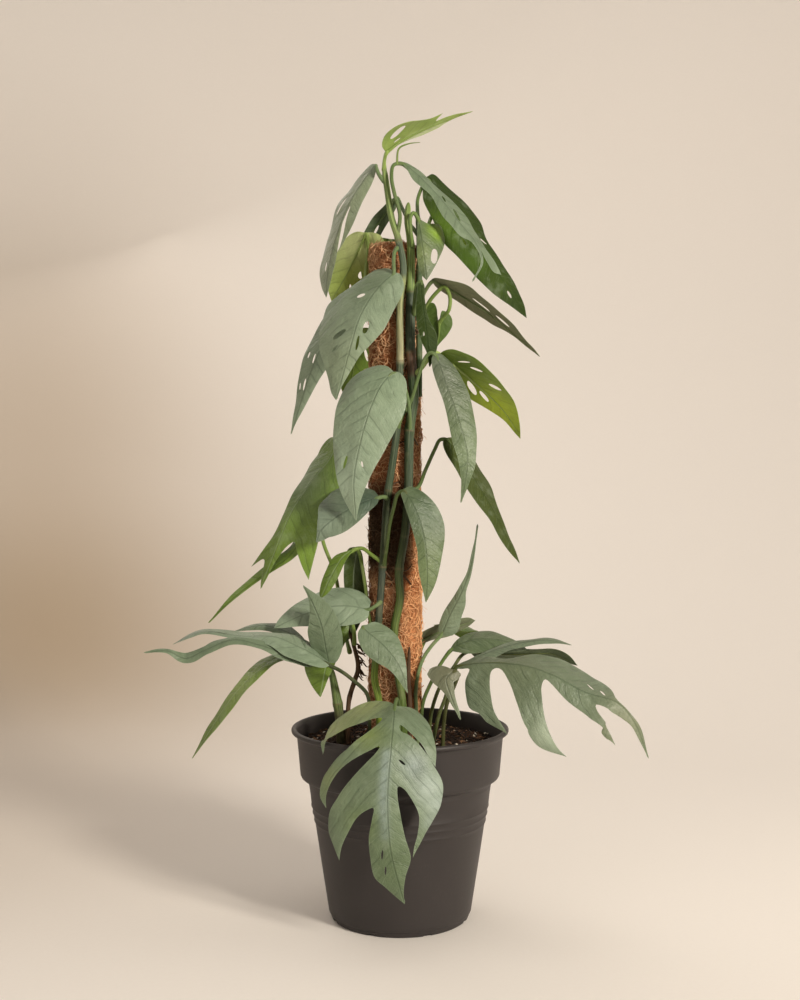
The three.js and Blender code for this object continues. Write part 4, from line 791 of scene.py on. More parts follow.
leaf("leaf_pale_left", "grey", "silver sage",
     line="-6 -52 520, -17 -60 507, -27 -66 485, -36 -72 454, -42 -74 419, -40 -72 382",
     face="-0.2 -0.88 0.42, -0.3 -0.94 0.1",
     right="-3 11, 0 21, 11 30, 25 38, 39 39, 59 35, 76 31, 95 25, 113 17, 133 9",
     left="-2 5, 0 13, 7 21, 31 30, 54 29, 78 24, 98 18, 122 10, 136 4", slits="103 12 91 11 1.5, 94 -5 100 -7 0.8",
     stalk="9 -28 464, 9 -41 482, 6 -47 500, -1 -51 517")
leaf("leaf_pale_right", "grey", "moss moss",
     line="33 -48 537, 43 -54 507, 54 -58 475, 62 -60 441, 60 -60 419, 56 -58 398",
     face="0.15 -0.93 0.3, 0.25 -0.95 0.1", right="2 4, 11 7, 28 8, 46 8, 68 10, 88 11, 108 8, 123 4, 135 2",
     left="1 5, 10 12, 22 17, 42 19, 60 18, 84 14, 100 9, 113 7, 128 4",
     stalk="-3 -31 466, 1 -35 478, 10 -36 494, 18 -42 519, 24 -46 534, 29 -48 538")
leaf("leaf_bright_right", "green", "lime lime",
     stalk_tint="#c0d880", line="38 -34 539, 53 -28 528, 76 -20 509, 96 -14 491, 109 -10 474, 116 -8 460",
     face="0.35 0.45 0.8, 0.45 0.4 0.75", fold="4 4", right="-1 7, 0 18, 3 26, 17 37, 41 42, 66 36, 87 20, 105 8",
     left="10 6, 26 15, 41 21, 55 21, 74 16, 93 9, 107 4",
     slits="17 7 23 22 1.1, 28 14 37 27 1.6, 52 16 63 27 2.5, 39 -5 55 -12 3, 54 -4 68 -8 2.2",
     stalk="14 -26 520, 21 -32 526, 27 -34 534, 32 -35 540")
leaf("leaf_lobed_left", "green", "grass grass",
     line="-61 4 462, -66 -4 444, -84 -10 420, -103 -18 391, -115 -24 362, -132 -28 317",
     face="-0.5 -0.75 0.45, -0.5 -0.8 0.3",
     right="-1 10, 8 20, 35 22, 50 17, 76 12, 94 10, 105 10, 130 16, 151 28 1, 140 10, 150 7, 159 4",
     left="7 8, 20 20, 36 33, 62 38, 85 37, 101 37, 112 39, 127 41, 143 43 1, 133 32, 122 22, 115 16, 120 11, 130 7, "
          "143 4, 157 2",
     stalk="-48 -12 254, -54 5 274, -59 9 304, -64 10 330, -75 11 359, -80 13 386, -76 14 425, -68 11 455",
     lobes=[
        measured(line="-89 -31 368, -106 -26 347, -132 -19 328, -157 -15 309, -184 -14 283", face="-0.4 -0.8 0.45",
                 right="5 8, 24 9, 48 10, 73 8, 96 5, 113 3", left="4 7, 17 6, 42 3, 64 2, 86 2, 108 1"),
     ])
leaf("leaf_blue_left", "grey", "sea sea",
     line="-20 -42 404, -38 -48 397, -56 -55 387, -73 -60 373, -77 -61 362", face="-0.1 -0.8 0.6, -0.2 -0.85 0.45",
     right="0 9, 5 18, 15 31, 27 35, 37 31, 49 25, 58 12, 67 3", left="4 6, 14 10, 34 16, 52 16, 71 8",
     stalk="-12 -30 402, -15 -38 404")
# painted shade: this leaf's dark stalk tint stands for the shadow under the leaves that the stalk runs through
leaf("leaf_pale_right_low", "grey", "moss moss",
     stalk_tint="#3f4f1c", line="3 -44 411, 12 -50 397, 21 -54 372, 25 -56 340, 24 -54 306",
     face="0.1 -0.93 0.35, 0.2 -0.96 0.1", right="1 3, 13 7, 42 9, 60 8, 81 8, 98 4",
     left="0 8, 5 13, 13 17, 27 22, 41 23, 59 19, 81 12, 97 7",
     stalk="-16 -30 338, -13 -37 354, -10 -41 377, -6 -43 394, -2 -44 407")
leaf("leaf_olive_right", "dark", "olive olive",
     line="44 -26 460, 57 -24 442, 78 -18 410, 97 -14 376, 115 -12 340", face="0.62 -0.6 0.5",
     right="1 7, 12 13, 34 15, 61 15, 94 10, 122 7", left="4 12, 17 26, 42 33, 61 33, 78 18, 93 11, 109 8, 124 5",
     stalk="8 -28 409, 17 -25 413, 24 -24 429, 33 -26 449, 38 -27 458")
leaf("leaf_upright", "grey", "sage sage",
     line="40 2 269, 49 -2 291, 58 -6 309, 66 -8 330, 71 -8 351, 75 -6 378", face="-0.25 -0.92 -0.1, -0.35 -0.9 -0.1",
     right="2 5, 5 10, 12 13, 26 11, 38 9, 50 4, 64 3, 78 2, 96 1", left="5 5, 18 7, 36 6, 53 4, 67 2, 88 2, 100 1",
     stalk="17 -20 150, 16 -20 190, 15 -20 217, 17 -19 234, 22 -11 248, 30 -2 259")
leaf("leaf_shade_right", "dark", "silver straw",
     line="20 24 262, 38 26 270, 58 28 276, 75 30 281", face="-0.2 0.75 0.6",
     right="-1 9, 7 13, 20 14, 33 13, 45 11, 53 7", left="3 5, 11 6, 21 8, 32 9, 41 7, 52 4",
     stalk="22 12 150, 20 13 200, 19 15 230, 18 20 250")
leaf("leaf_low_left", "grey", "silver moss",
     lobe_tints="sage moss", stalk_tint="#36421e",
     line="-65 -42 247, -80 -46 257, -96 -46 265, -117 -42 273, -150 -36 273, -185 -32 277, -198 -32 273, "
          "-214 -34 265", face="-0.25 -0.35 0.9, -0.2 -0.3 0.92",
     right="4 16, 14 22, 35 20, 50 15, 65 13, 87 13, 110 11, 131 12, 139 8, 151 3",
     left="4 7, 10 12, 20 16, 31 17, 40 17, 50 15, 69 10, 81 8, 98 5, 121 4, 133 4, 146 4",
     stalk="-30 -27 150, -29 -28 196, -31 -29 217, -45 -34 232, -56 -39 241",
     lobes=[
        measured(line="-76 -47 250, -102 -52 257, -128 -52 266, -156 -50 271, -180 -50 262, -199 -50 254, "
                      "-215 -52 261, -237 -54 260", face="-0.1 -0.55 0.8, 0.1 -0.75 0.6",
                 right="8 7, 30 6, 54 7, 77 4, 89 5, 101 7, 112 5, 129 7, 144 3, 155 3, 163 2",
                 left="8 8, 23 7, 39 6, 55 4, 67 4, 82 5, 95 5, 109 5, 122 6, 130 5, 139 4, 151 2, 160 1"),
        measured(line="-67 -36 248, -70 -43 266, -73 -49 284, -80 -51 303, -90 -49 322",
                 face="-0.1 -0.95 -0.1, -0.2 -0.95 0", right="-1 6, 9 14, 21 17, 35 17, 50 15, 62 10, 71 5",
                 left="6 9, 18 15, 34 15, 53 7, 66 2"),
        measured(line="-88 -44 263, -96 -32 269, -111 -18 276, -133 -10 280, -161 -6 274",
                 face="-0.15 -0.45 0.85, -0.15 -0.5 0.85", right="12 5, 31 8, 42 11, 54 8, 70 6",
                 left="8 4, 30 6, 48 6, 67 5"),
     ])
leaf("leaf_blue_low", "grey", "silver sage",
     line="-29 -36 298, -47 -33 301, -68 -31 300, -90 -31 293, -119 -30 280", face="-0.05 -0.72 0.7, -0.1 -0.75 0.65",
     right="2 12, 8 18, 16 24, 26 27, 40 28, 58 22, 75 16, 89 7", left="-1 7, 2 13, 9 18, 25 21, 46 19, 63 13, 84 5",
     stalk="-18 -29 305, -22 -35 302")
leaf("leaf_slim_left", "green", "grass lemon",
     line="-103 -18 254, -118 -22 250, -130 -26 243, -150 -28 225, -167 -30 203, -184 -30 176, -197 -28 156",
     face="-0.55 -0.45 0.7, -0.65 -0.4 0.6", fold="-4 6", curl="7 33",
     right="5 4, 17 9, 28 14, 40 13, 55 9, 73 8, 102 8, 126 4", left="8 6, 19 7, 36 9, 58 12, 86 11, 110 6, 126 3",
     stalk="-66 -9 234, -74 -8 244, -88 -9 253, -97 -13 256")
leaf("leaf_bright_low", "green", "grass grass",
     line="-56 -16 293, -61 -20 272, -70 -22 244, -76 -20 213", face="-0.1 -0.97 0.15, -0.1 -0.97 0.1",
     right="1 8, 15 17, 39 21, 57 22, 72 13, 79 6", left="5 7, 19 11, 34 9, 53 7, 66 4, 76 2",
     stalk="-44 -14 262, -44 -18 276, -49 -18 290")
leaf("leaf_mid_left", "green", "grass grass",
     line="-43 -22 355, -54 -27 347, -64 -31 331, -75 -31 308", face="-0.4 -0.85 0.35, -0.4 -0.85 0.3",
     right="8 3, 19 9, 33 9, 48 7, 56 4", left="9 3, 23 6, 38 7, 53 4", stalk="-16 -29 342, -27 -26 349, -36 -22 355")
leaf("leaf_mid_left_tall", "green", "deep deep",
     line="-41 -8 356, -44 -6 336, -46 -5 301, -52 -6 264", face="0.05 -0.98 0.15, -0.05 -0.98 0.1",
     right="3 8, 14 10, 29 10, 52 8, 80 6", left="5 5, 24 10, 42 13, 65 12, 85 6",
     stalk="-21 -28 268, -29 -22 289, -32 -17 310, -35 -14 330, -38 -11 345")
leaf("leaf_front_small", "grey", "sage moss",
     line="-36 -46 283, -31 -48 279, -13 -54 264, 0 -58 246, 7 -58 223", face="0.1 -0.85 0.5, 0.25 -0.9 0.25",
     right="2 7, 11 14, 22 17, 36 15, 46 11, 64 5", left="2 5, 5 13, 16 18, 28 18, 41 13, 58 5",
     stalk="-21 -29 276, -27 -38 282")
leaf("leaf_front_lobed", "grey", "sage moss",
     line="-5 -72 214, -6 -98 202, -8 -114 183, -11 -122 140, -8 -122 96, -1 -120 67, 4 -117 49",
     face="-0.02 -0.8 0.6, -0.02 -0.98 0.1",
     right="-6 4, -13 21, -13 34, -9 46, -3 59, 5 66, 35 70, 62 67 1, 26 61, 18 47, 17 32, 15 18, 17 11, 26 14, "
           "36 22, 46 34, 63 49, 76 58, 86 64, 97 65, 107 58 1, 96 58, 82 51, 70 40, 59 25, 51 10, 57 13, 67 21, "
           "81 33, 96 45, 111 55, 125 57, 136 53, 146 49 1, 137 45, 125 37, 113 28, 107 20, 104 12, 114 14, 129 18, "
           "145 19, 161 19, 171 13, 181 7",
     left="-1 7, -2 15, 3 24, 16 32, 31 37, 49 41, 65 42 1, 57 35, 45 27, 36 17, 28 6, 35 7, 38 15, 47 26, 61 38, "
          "81 50, 104 49, 121 41, 134 32, 153 18 1, 143 21, 131 26, 114 28, 98 22, 87 14, 85 9, 95 9, 109 11, 130 14, "
          "153 16, 168 7, 181 2", slits="62 -8 66 -14 0.9, 140 7 148 9 0.8, 154 7 161 9 0.8",
     stalk="-2 -40 150, -1 -40 190, -1 -42 207, -3 -54 217")
leaf("leaf_right_lobed", "grey", "sea moss",
     stalk_tint="#4f5a28",
     line="50 -26 242, 66 -32 246, 82 -37 248, 114 -46 247, 139 -52 240, 171 -58 224, 200 -62 215, 214 -64 199, "
          "228 -64 164", face="0.05 -0.3 0.95, 0.35 -0.35 0.85", fold="42 0", curl="48 13",
     right="8 3, 17 5, 12 16, 11 30, 13 41, 25 48, 38 57, 63 66 1, 53 57, 44 46, 40 32, 38 18, 39 8, 43 5, 48 6, "
           "57 17, 68 33, 85 50, 105 61, 118 65, 133 62 1, 128 58, 121 51, 111 41, 102 31, 93 19, 91 11, 92 7, 98 8, "
           "118 15, 133 19, 143 24, 177 32, 197 26 1, 184 26, 156 22, 145 15, 142 9, 150 9, 161 11, 176 8, 185 5, "
           "201 3",
     left="7 9, 22 15, 49 13, 62 20, 74 32, 89 38, 114 46, 135 37, 146 30, 154 19, 158 7 1, 162 3, 173 3, 187 6, "
          "202 5", slits="130 -17 138 -9 0.9, 144 -11 149 -4 1.1",
     stalk="29 -26 150, 32 -26 175, 37 -25 197, 43 -24 213, 48 -24 229",
     lobes=[
        measured(line="57 -27 244, 83 -14 254, 112 -6 262, 141 0 265, 167 2 260",
                 face="-0.1 -0.35 0.95, 0.1 -0.4 0.92", right="12 6, 28 9, 58 7, 78 6, 95 5, 107 2",
                 left="13 4, 33 5, 63 7, 81 6, 95 7, 106 6"),
     ])
leaf("leaf_arched_right", "grey", "moss leaf",
     line="48 1 255, 62 5 262, 82 11 265, 110 17 260, 126 19 253", face="0 -0.5 0.87, 0.1 -0.5 0.87",
     right="4 6, 12 14, 29 17, 54 16, 73 9", left="7 5, 15 9, 29 17, 40 20, 50 20, 59 14, 69 9, 78 5",
     stalk="21 -9 150, 21 -7 196, 23 -5 208, 31 -2 226, 39 1 241")
leaf("leaf_brown_right", "dark", "umber moss",
     stalk_tint="#5a6630", line="66 18 253, 97 30 248, 127 38 247, 156 40 246, 178 38 235",
     face="0.1 0.35 0.93, 0.2 0.45 0.9", fold="-6 2", curl="0 13", right="10 8, 29 9, 49 10, 73 13, 92 12, 106 9",
     left="19 18, 40 28, 59 26, 79 17, 97 12, 111 6",
     stalk="28 -15 150, 29 -12 190, 34 -8 210, 41 -4 225, 52 4 238, 60 12 248")
leaf("leaf_right_small", "grey", "umber fern",
     stalk_tint="#4c4f26", line="51 -50 243, 43 -54 236, 47 -58 220, 56 -56 198",
     face="-0.1 -0.9 0.4, -0.1 -0.95 0.2", right="3 7, 8 15, 11 20, 13 15, 18 8, 27 4, 38 2",
     left="-2 6, 2 8, 20 6, 28 4, 37 3, 46 2", stalk="40 -38 150, 41 -38 190, 44 -40 210, 51 -43 228, 54 -47 239")
leaf("leaf_back_top", "green", "leaf grass", wide="27",
     line="-10 62 668, -14 84 655, -18 104 625, -20 112 585", face="0 0.6 0.8, 0 0.95 0.3",
     stalk="-5 30 612, -6 44 640, -8 54 662")
leaf("leaf_back_upper", "green", "leaf grass", wide="18",
     line="6 58 600, 8 80 588, 8 94 556, 6 100 520", face="0.2 0.6 0.8, 0.1 0.95 0.3",
     stalk="-4 31 548, 2 42 575, 5 50 594")
leaf("leaf_back_left", "green", "leaf grass", wide="25",
     line="-30 50 575, -42 72 560, -50 88 530, -52 94 490", face="-0.4 0.6 0.7, -0.4 0.9 0.3",
     stalk="-3 31 506, -14 38 545, -22 44 570")
leaf("leaf_back_mid", "green", "leaf grass", wide="22",
     line="-6 54 452, -8 76 440, -9 92 405, -8 98 362", face="0 0.6 0.8, 0 0.95 0.3",
     stalk="-6 31 400, -6 40 430, -6 47 448")
leaf("leaf_back_right", "green", "leaf grass", wide="18",
     line="50 45 692, 64 60 678, 77 70 654, 86 74 627", face="0.4 0.6 0.7, 0.5 0.8 0.3",
     stalk="19 -14 644, 26 0 664, 34 22 686, 42 36 694")
leaf("leaf_back_left_mid", "green", "leaf grass", wide="20",
     line="-55 58 440, -72 72 428, -86 80 395, -92 82 355", face="-0.5 0.6 0.6, -0.5 0.8 0.3",
     stalk="-5 31 372, -22 42 410, -40 52 434")
leaf("leaf_back_low", "green", "leaf grass", wide="24",
     line="-44 62 300, -58 82 296, -72 96 276, -80 102 246", face="-0.3 0.4 0.85, -0.4 0.8 0.5",
     stalk="-14 48 150, -17 50 220, -28 55 282, -36 58 297")
leaf("leaf_back_right_low", "green", "leaf grass", wide="24",
     line="48 80 272, 62 100 270, 74 118 258, 80 128 238", face="0.2 0.1 0.95, 0.3 0.6 0.7",
     stalk="8 46 150, 13 52 220, 26 62 258, 38 72 270")
print(len(LEAVES), "leaves")

# %% [markdown]
# ### Leaf colours
#
# Mature leaves have a silvery blue-green upper face; young ones and those that the light shines through are a clear
# yellow green. Fifteen greens and browns make a small palette. Soft patches change a leaf in places: a patch is a spot
# on the flat blade, how far it spreads and its colour, and some repeat a number of times at a distance along the blade.
# Some patches are painted light: highlights on the front lobed leaf and under the top leaf, light shining through the
# cupped and folded leaves, and a painted shadow near the base of the blue left leaf.

# %% Leaf colours
GREENS = {
    "silver": "#87987f", "sage": "#6c7c62", "fern": "#5e6e52", "moss": "#556445", "sea": "#65735b", "lemon": "#a5bb68",
    "lime": "#84a040", "grass": "#67812f", "leaf": "#4f672b", "dark": "#2a3a0c", "olive": "#3f4a1f", "umber": "#696a54",
    "straw": "#7b8266", "khaki": "#7e8266", "deep": "#3d4d1c",
}
PATCHES = {
    # painted highlight: a row of pale spots along the underside of the top leaf, near the midrib
    "leaf_top_under": "26 -5 6 #dfecba 6 7, 18 22 14 #94b24e, 50 14 14 #9cb85c",
    # painted light: the bright yellow-green spot on the folded leaf stands for light shining through it
    "leaf_folded": "12 -19 11 #7f9f28, 36 0 12 #6c7c4c", "leaf_upper_left": "30 0 40 #8d9a7c, 90 0 50 #8b977a",
    "leaf_upright": "40 0 40 #7b8a70", "leaf_dark_right": "56 18 24 #486214, 100 14 22 #3f5812, 130 8 16 #36490f",
    # painted highlights: the pale blue-grey spots on the right lobe and the row of spots along the midrib stand in for
    # sky reflections
    "leaf_front_lobed": "86 -38 16 #a0aea4, 66 -22 13 #84928a, 104 -46 12 #98a69c, 122 -40 10 #8b998c, "
                        "58 3.5 4.5 #8a9a92 11 7, 40 22 16 #73834e, 120 24 14 #66794a, -8 30 20 #95a068, "
                        "12 62 24 #95a068, 84 58 16 #77845e, 160 2 34 #5a6a4c",
    "leaf_bright_right_under": "20 16 22 #5f7a2c, 82 -4 30 #c8e04c",
    # painted light: the pale spots on the cupped leaf's underside stand for light shining through it
    "leaf_cupped_under": "14 -4 30 #dbe8a4, 52 10 26 #a9be5c", "leaf_grey_left": "104 0 30 #8c9c80, 20 10 24 #6e7e63",
    "leaf_pale_left": "20 0 26 #83957a, 112 10 26 #8fa08a", "leaf_pale_right": "20 0 30 #5c6652, 100 0 30 #6a7a5a",
    "leaf_pale_right_low": "30 -10 24 #54644c, 84 0 30 #66764f",
    # painted shadow darkens the blue left leaf near its stalk, where the leaf above shades it, and painted light
    # lightens its middle
    "leaf_lobed_left": "110 -30 24 #739034, 60 14 34 #71865a", "leaf_blue_left": "12 0 22 #4a5c4c, 60 8 24 #7b8b78",
    "leaf_right_lobed": "118 52 18 #98a58f, 60 0 40 #5f6a50, 180 10 30 #757b60",
    "leaf_low_left": "20 0 30 #7a8a72, 130 0 40 #74836c", "leaf_slim_left": "60 8 30 #8ba05a",
    "leaf_right_small": "60 0 34 #7c8a70", "leaf_right_small_under": "60 0 34 #7c8a70",
}
PATCHES = {name: rows(text) for name, text in PATCHES.items()}
SLOT = {"grey": "leaf_grey_green", "green": "leaf_bright_green", "dark": "leaf_dark_green"}
print(len(GREENS), "leaf colours")

# %% [markdown]
# ### From a flat blade to a bent one
#
# A blade bends in two ways. Its midrib is a curve in space, and each half swings away from the plane of the midrib:
# a fold that starts at the midrib, and a curl that grows with the distance out. Small waves along the margin are added
# on top, since no real leaf has an even edge.

# %% Bending surface
def unit(vectors):
    return vectors / np.linalg.norm(vectors, axis=-1, keepdims=True)


class Surface:
    """Carries points of a flat blade, along the midrib and out from it, to their places in space."""

    def __init__(self, spec):
        self.line, self.far = smooth_line(spec["line"], 0.5)
        self.length = self.far[-1]
        self.tangent = unit(np.gradient(self.line, axis=0))
        share = (self.far / self.length)[:, None]
        base, tip = unit(np.array(spec["face"][0])), unit(np.array(spec["face"][-1]))
        face = base * (1 - share) + tip * share
        self.up = unit(face - (face * self.tangent).sum(1, keepdims=True) * self.tangent)
        self.fold = np.radians(spec.get("fold", [[8, 8]])[0])
        self.curl = np.radians([c or 0.01 for c in spec.get("curl", [[40, 40]])[0]]) / 100

    def at(self, table, along):
        place = np.clip(along, 0, self.length)
        return np.stack([np.interp(place, self.far, table[:, k]) for k in range(3)], 1)

    def place(self, along, out):
        """Points and upper normals for arrays of flat places."""
        tangent, up = unit(self.at(self.tangent, along)), unit(self.at(self.up, along))
        right = np.cross(tangent, up)
        half, side = np.where(out >= 0, 0, 1), np.where(out >= 0, 1.0, -1.0)
        start, rate = self.fold[half], self.curl[half]
        end = start + rate * abs(out)
        point = self.at(self.line, along) + (along - np.clip(along, 0, self.length))[:, None] * tangent
        point += (side * (np.sin(end) - np.sin(start)) / rate)[:, None] * right
        point -= ((np.cos(start) - np.cos(end)) / rate)[:, None] * up
        return point, unit(np.cos(end)[:, None] * up + (side * np.sin(end))[:, None] * right)

# %% [markdown]
# ### Filling the outline
#
# The margin is rounded between its sharp corners, then the blade is filled with small even triangles: points on a
# honeycomb grid, joined by a Delaunay triangulation that keeps the margin, the slits and the midrib as edges. A plain
# fan of long triangles would be lighter but would crease where the blade bends.

# %% Flat outlines
GRID, RIB_STEP, MARGIN_STEP = 2.3, 2.4, 2.0


def margin_of(points, length, side):
    """The margin of one half from its base to its tip, rounded between sharp corners."""
    corners = [(0, 0, 1), *[(*p, 0)[:3] for p in points], (length, 0, 1)]
    made, part = [], []
    for corner in corners:
        part.append(corner[:2])
        if corner[2] and len(part) > 1:
            made.append(smooth_line(part, MARGIN_STEP)[0][:-1])
            part = [corner[:2]]
    margin = np.vstack([*made, [(length, 0)]])
    margin[1:-1, 1] = np.maximum(margin[1:-1, 1], 0.9)
    return margin * [1, side]


def slit_of(slit, rough):
    """A long rounded hole, wider in the middle."""
    a, b, half = np.array(slit[:2]), np.array(slit[2:4]), slit[4]
    along = (b - a) / np.linalg.norm(b - a)
    turns = np.linspace(0, 2 * np.pi, 17)[:-1]
    length = np.cos(turns) * np.linalg.norm(b - a) / 2
    across = np.sin(turns) * half * (1.08 + 0.1 * np.cos(turns * 2 + rough))
    return (a + b) / 2 + length[:, None] * along + across[:, None] * np.array([-along[1], along[0]])


def inside(points, loop):
    """Whether each point lies inside a closed loop."""
    x, y = points[:, :1], points[:, 1:]
    x0, y0 = loop[:, 0], loop[:, 1]
    x1, y1 = np.roll(x0, -1), np.roll(y0, -1)
    rise = np.where(y1 == y0, 1e-9, y1 - y0)
    return (((y0 > y) != (y1 > y)) & (x < x0 + (y - y0) * (x1 - x0) / rise)).sum(1) % 2 == 1


def gap_to(points, line, closed=False):
    """The distance from each point to the nearest of a line's segments."""
    line = np.vstack([line, line[:1]]) if closed else line
    a, ab = line[:-1], np.diff(line, axis=0)
    share = np.clip(((points[:, None] - a) * ab).sum(2) / np.maximum((ab * ab).sum(1), 1e-9), 0, 1)
    return np.linalg.norm(points[:, None] - a - share[..., None] * ab, axis=2).min(1)


def flat_half(length, margin, slits):
    """Points and triangles that fill one half of a blade, and how far each point is from an edge."""
    count = max(6, round(length / RIB_STEP))
    rib = np.stack([np.linspace(length, 0, count + 1), np.zeros(count + 1)], 1)[1:-1]
    loop = np.vstack([margin, rib])
    low, high = loop.min(0) - GRID, loop.max(0) + GRID
    levels = enumerate(np.arange(low[1], high[1], GRID * 0.866))
    dots = np.array([(x + (j % 2) * GRID / 2, y) for j, y in levels for x in np.arange(low[0], high[0], GRID)])
    dots = dots[inside(dots, loop)]
    dots = dots[gap_to(dots, loop, True) > 1.1]
    for slit in slits:
        dots = dots[~inside(dots, slit)]
        dots = dots[gap_to(dots, slit, True) > 0.9]
    flat, edges = [], []
    for each in [loop, *slits]:
        start = len(flat)
        edges += [(start + i, start + (i + 1) % len(each)) for i in range(len(each))]
        flat += [tuple(p) for p in each]
    flat += [tuple(p) for p in dots]
    made = delaunay_2d_cdt([Vector(p) for p in flat], edges, [], 0, 1e-4)
    points, triangles = np.array([tuple(p) for p in made[0]]), np.array(made[2])
    middle = points[triangles].mean(1)
    keep = inside(middle, loop)
    for slit in slits:
        keep &= ~inside(middle, slit)
    triangles = triangles[keep]
    a, b, c = points[triangles].transpose(1, 0, 2)
    turn = (b - a)[:, 0] * (c - a)[:, 1] - (b - a)[:, 1] * (c - a)[:, 0]
    triangles = np.where((turn > 0)[:, None], triangles[:, ::-1], triangles)[abs(turn) > 1e-6]
    far = gap_to(points, margin)
    for slit in slits:
        far = np.minimum(far, gap_to(points, slit, True) * 1.5)
    return points, triangles, far

# %% [markdown]
# ### Blade and leaf
#
# Both faces of a blade come from the same flat triangles, with a wall round every edge, so it is closed. The point
# attributes carry the flat place, the distance to the margin and the tints; the materials draw the veins from them.

# %% Blade mesh
THICK = 0.5


def patched(tint, patches, points):
    """The tint at each flat point, turned towards each patch's colour near it."""
    made = np.tile(colour(tint), (len(points), 1))
    for along, out, spread, tone, *repeat in patches:
        count, gap = repeat or (1, 0)
        for k in range(int(count)):
            away = (points[:, 0] - along - k * gap) ** 2 + (points[:, 1] - out) ** 2
            near = np.exp(-away / spread ** 2)[:, None]
            made = made * (1 - near) + np.array(colour(tone)) * near
    return made


def blade(name, spec, tints, number):
    """A thin closed blade as a new object, and its surface."""
    surface = Surface(spec)
    points, triangles, far, known = [], [], [], {}
    for margin, side in [(spec["right"], 1), (spec["left"], -1)]:
        slits = [slit_of(s, number + k) for k, s in enumerate(spec.get("slits", [])) if s[1] * side > 0]
        flat, faces, gaps = flat_half(surface.length, margin_of(margin, surface.length, side), slits)
        ids = []
        for p, gap in zip(flat, gaps):
            key = (round(p[0], 3), round(p[1], 3) + 0.0)
            if key not in known:
                known[key] = len(points)
                points.append(p)
                far.append(gap)
            ids.append(known[key])
        triangles.append(np.array(ids)[faces])
    points, far, triangles = np.array(points), np.array(far), np.vstack(triangles)
    triangles = triangles[[len(set(t)) == 3 for t in triangles]]
    along, out = points.T
    centre, normal = surface.place(along, out)
    waves = np.sin(along / 9.5 + number * 1.7) * 0.6 + np.sin(along / 5.1 + number * 2.9 + np.sign(out)) * 0.3
    rise = waves * np.exp(-far / 5) * np.clip(abs(out) / 8, 0, 1)
    sag, small = [np.array([noise.noise(Vector((u / size, v / size, number * shift))) for u, v in points])
                  for size, shift in [(17, 3.1), (6.5, 5.3)]]
    quilt = np.cos(2 * np.pi * ((along - 0.8 * abs(out) - 0.006 * out ** 2) / 14 + sag * 0.4))
    inner = np.clip(abs(out) / 6, 0, 1) * np.clip(far / 5, 0, 1)
    rise += (0.09 * quilt + 0.8 * sag + 0.14 * small) * inner
    centre = centre + rise[:, None] * normal
    half = THICK / 2 * (0.35 + 0.65 * np.clip(far / 1.5, 0, 1))[:, None]
    both = np.vstack([centre + normal * half, centre - normal * half]) * MM
    count = len(points)
    sides = {(a, b) for t in triangles for a, b in [(t[0], t[1]), (t[1], t[2]), (t[2], t[0])]}
    walls = [(a, a + count, b + count, b) for a, b in sides if (b, a) not in sides]
    faces = [*triangles.tolist(), *(triangles[:, ::-1] + count).tolist(), *[[int(i) for i in w] for w in walls]]
    mesh = bpy.data.meshes.new(name)
    mesh.from_pydata(both.tolist(), [], faces)
    mesh.polygons.foreach_set("material_index", [0] * len(triangles) + [1] * (len(triangles) + len(walls)))
    upper, under = [patched(tint, PATCHES.get(spec["name"] + end, []), points)
                    for tint, end in zip(tints, ["", "_under"])]
    look = spec.get("look")
    plain = {"number": number * 0.37, "pale": look == "green", "dull": look == "dark"}
    write(mesh, along=np.tile(along, 2), out=np.tile(out, 2), far=np.tile(far, 2),
          **{key: np.full(2 * count, float(value)) for key, value in plain.items()}, tint=np.vstack([upper, under]))
    mesh.validate()
    made = from_mesh(name, mesh, (leaf_dark if look == "dark" else leaf_upper).material, leaf_under.material)
    mesh.shade_smooth()
    mesh.set_sharp_from_angle(angle=math.radians(62))
    return made, surface

# %% [markdown]
# ### Leaf finish
#
# The upper face has a darker midrib in a shallow groove, veins that leave it at a slant and bend to the tip, and a
# fine net of streaks between them. A thin waxy layer gives the silvery sheen, so the gloss is soft and broad, and
# weaker on the dark leaves. The underside has its veins raised.

# %% Leaf materials
VEIN_GAP = 14


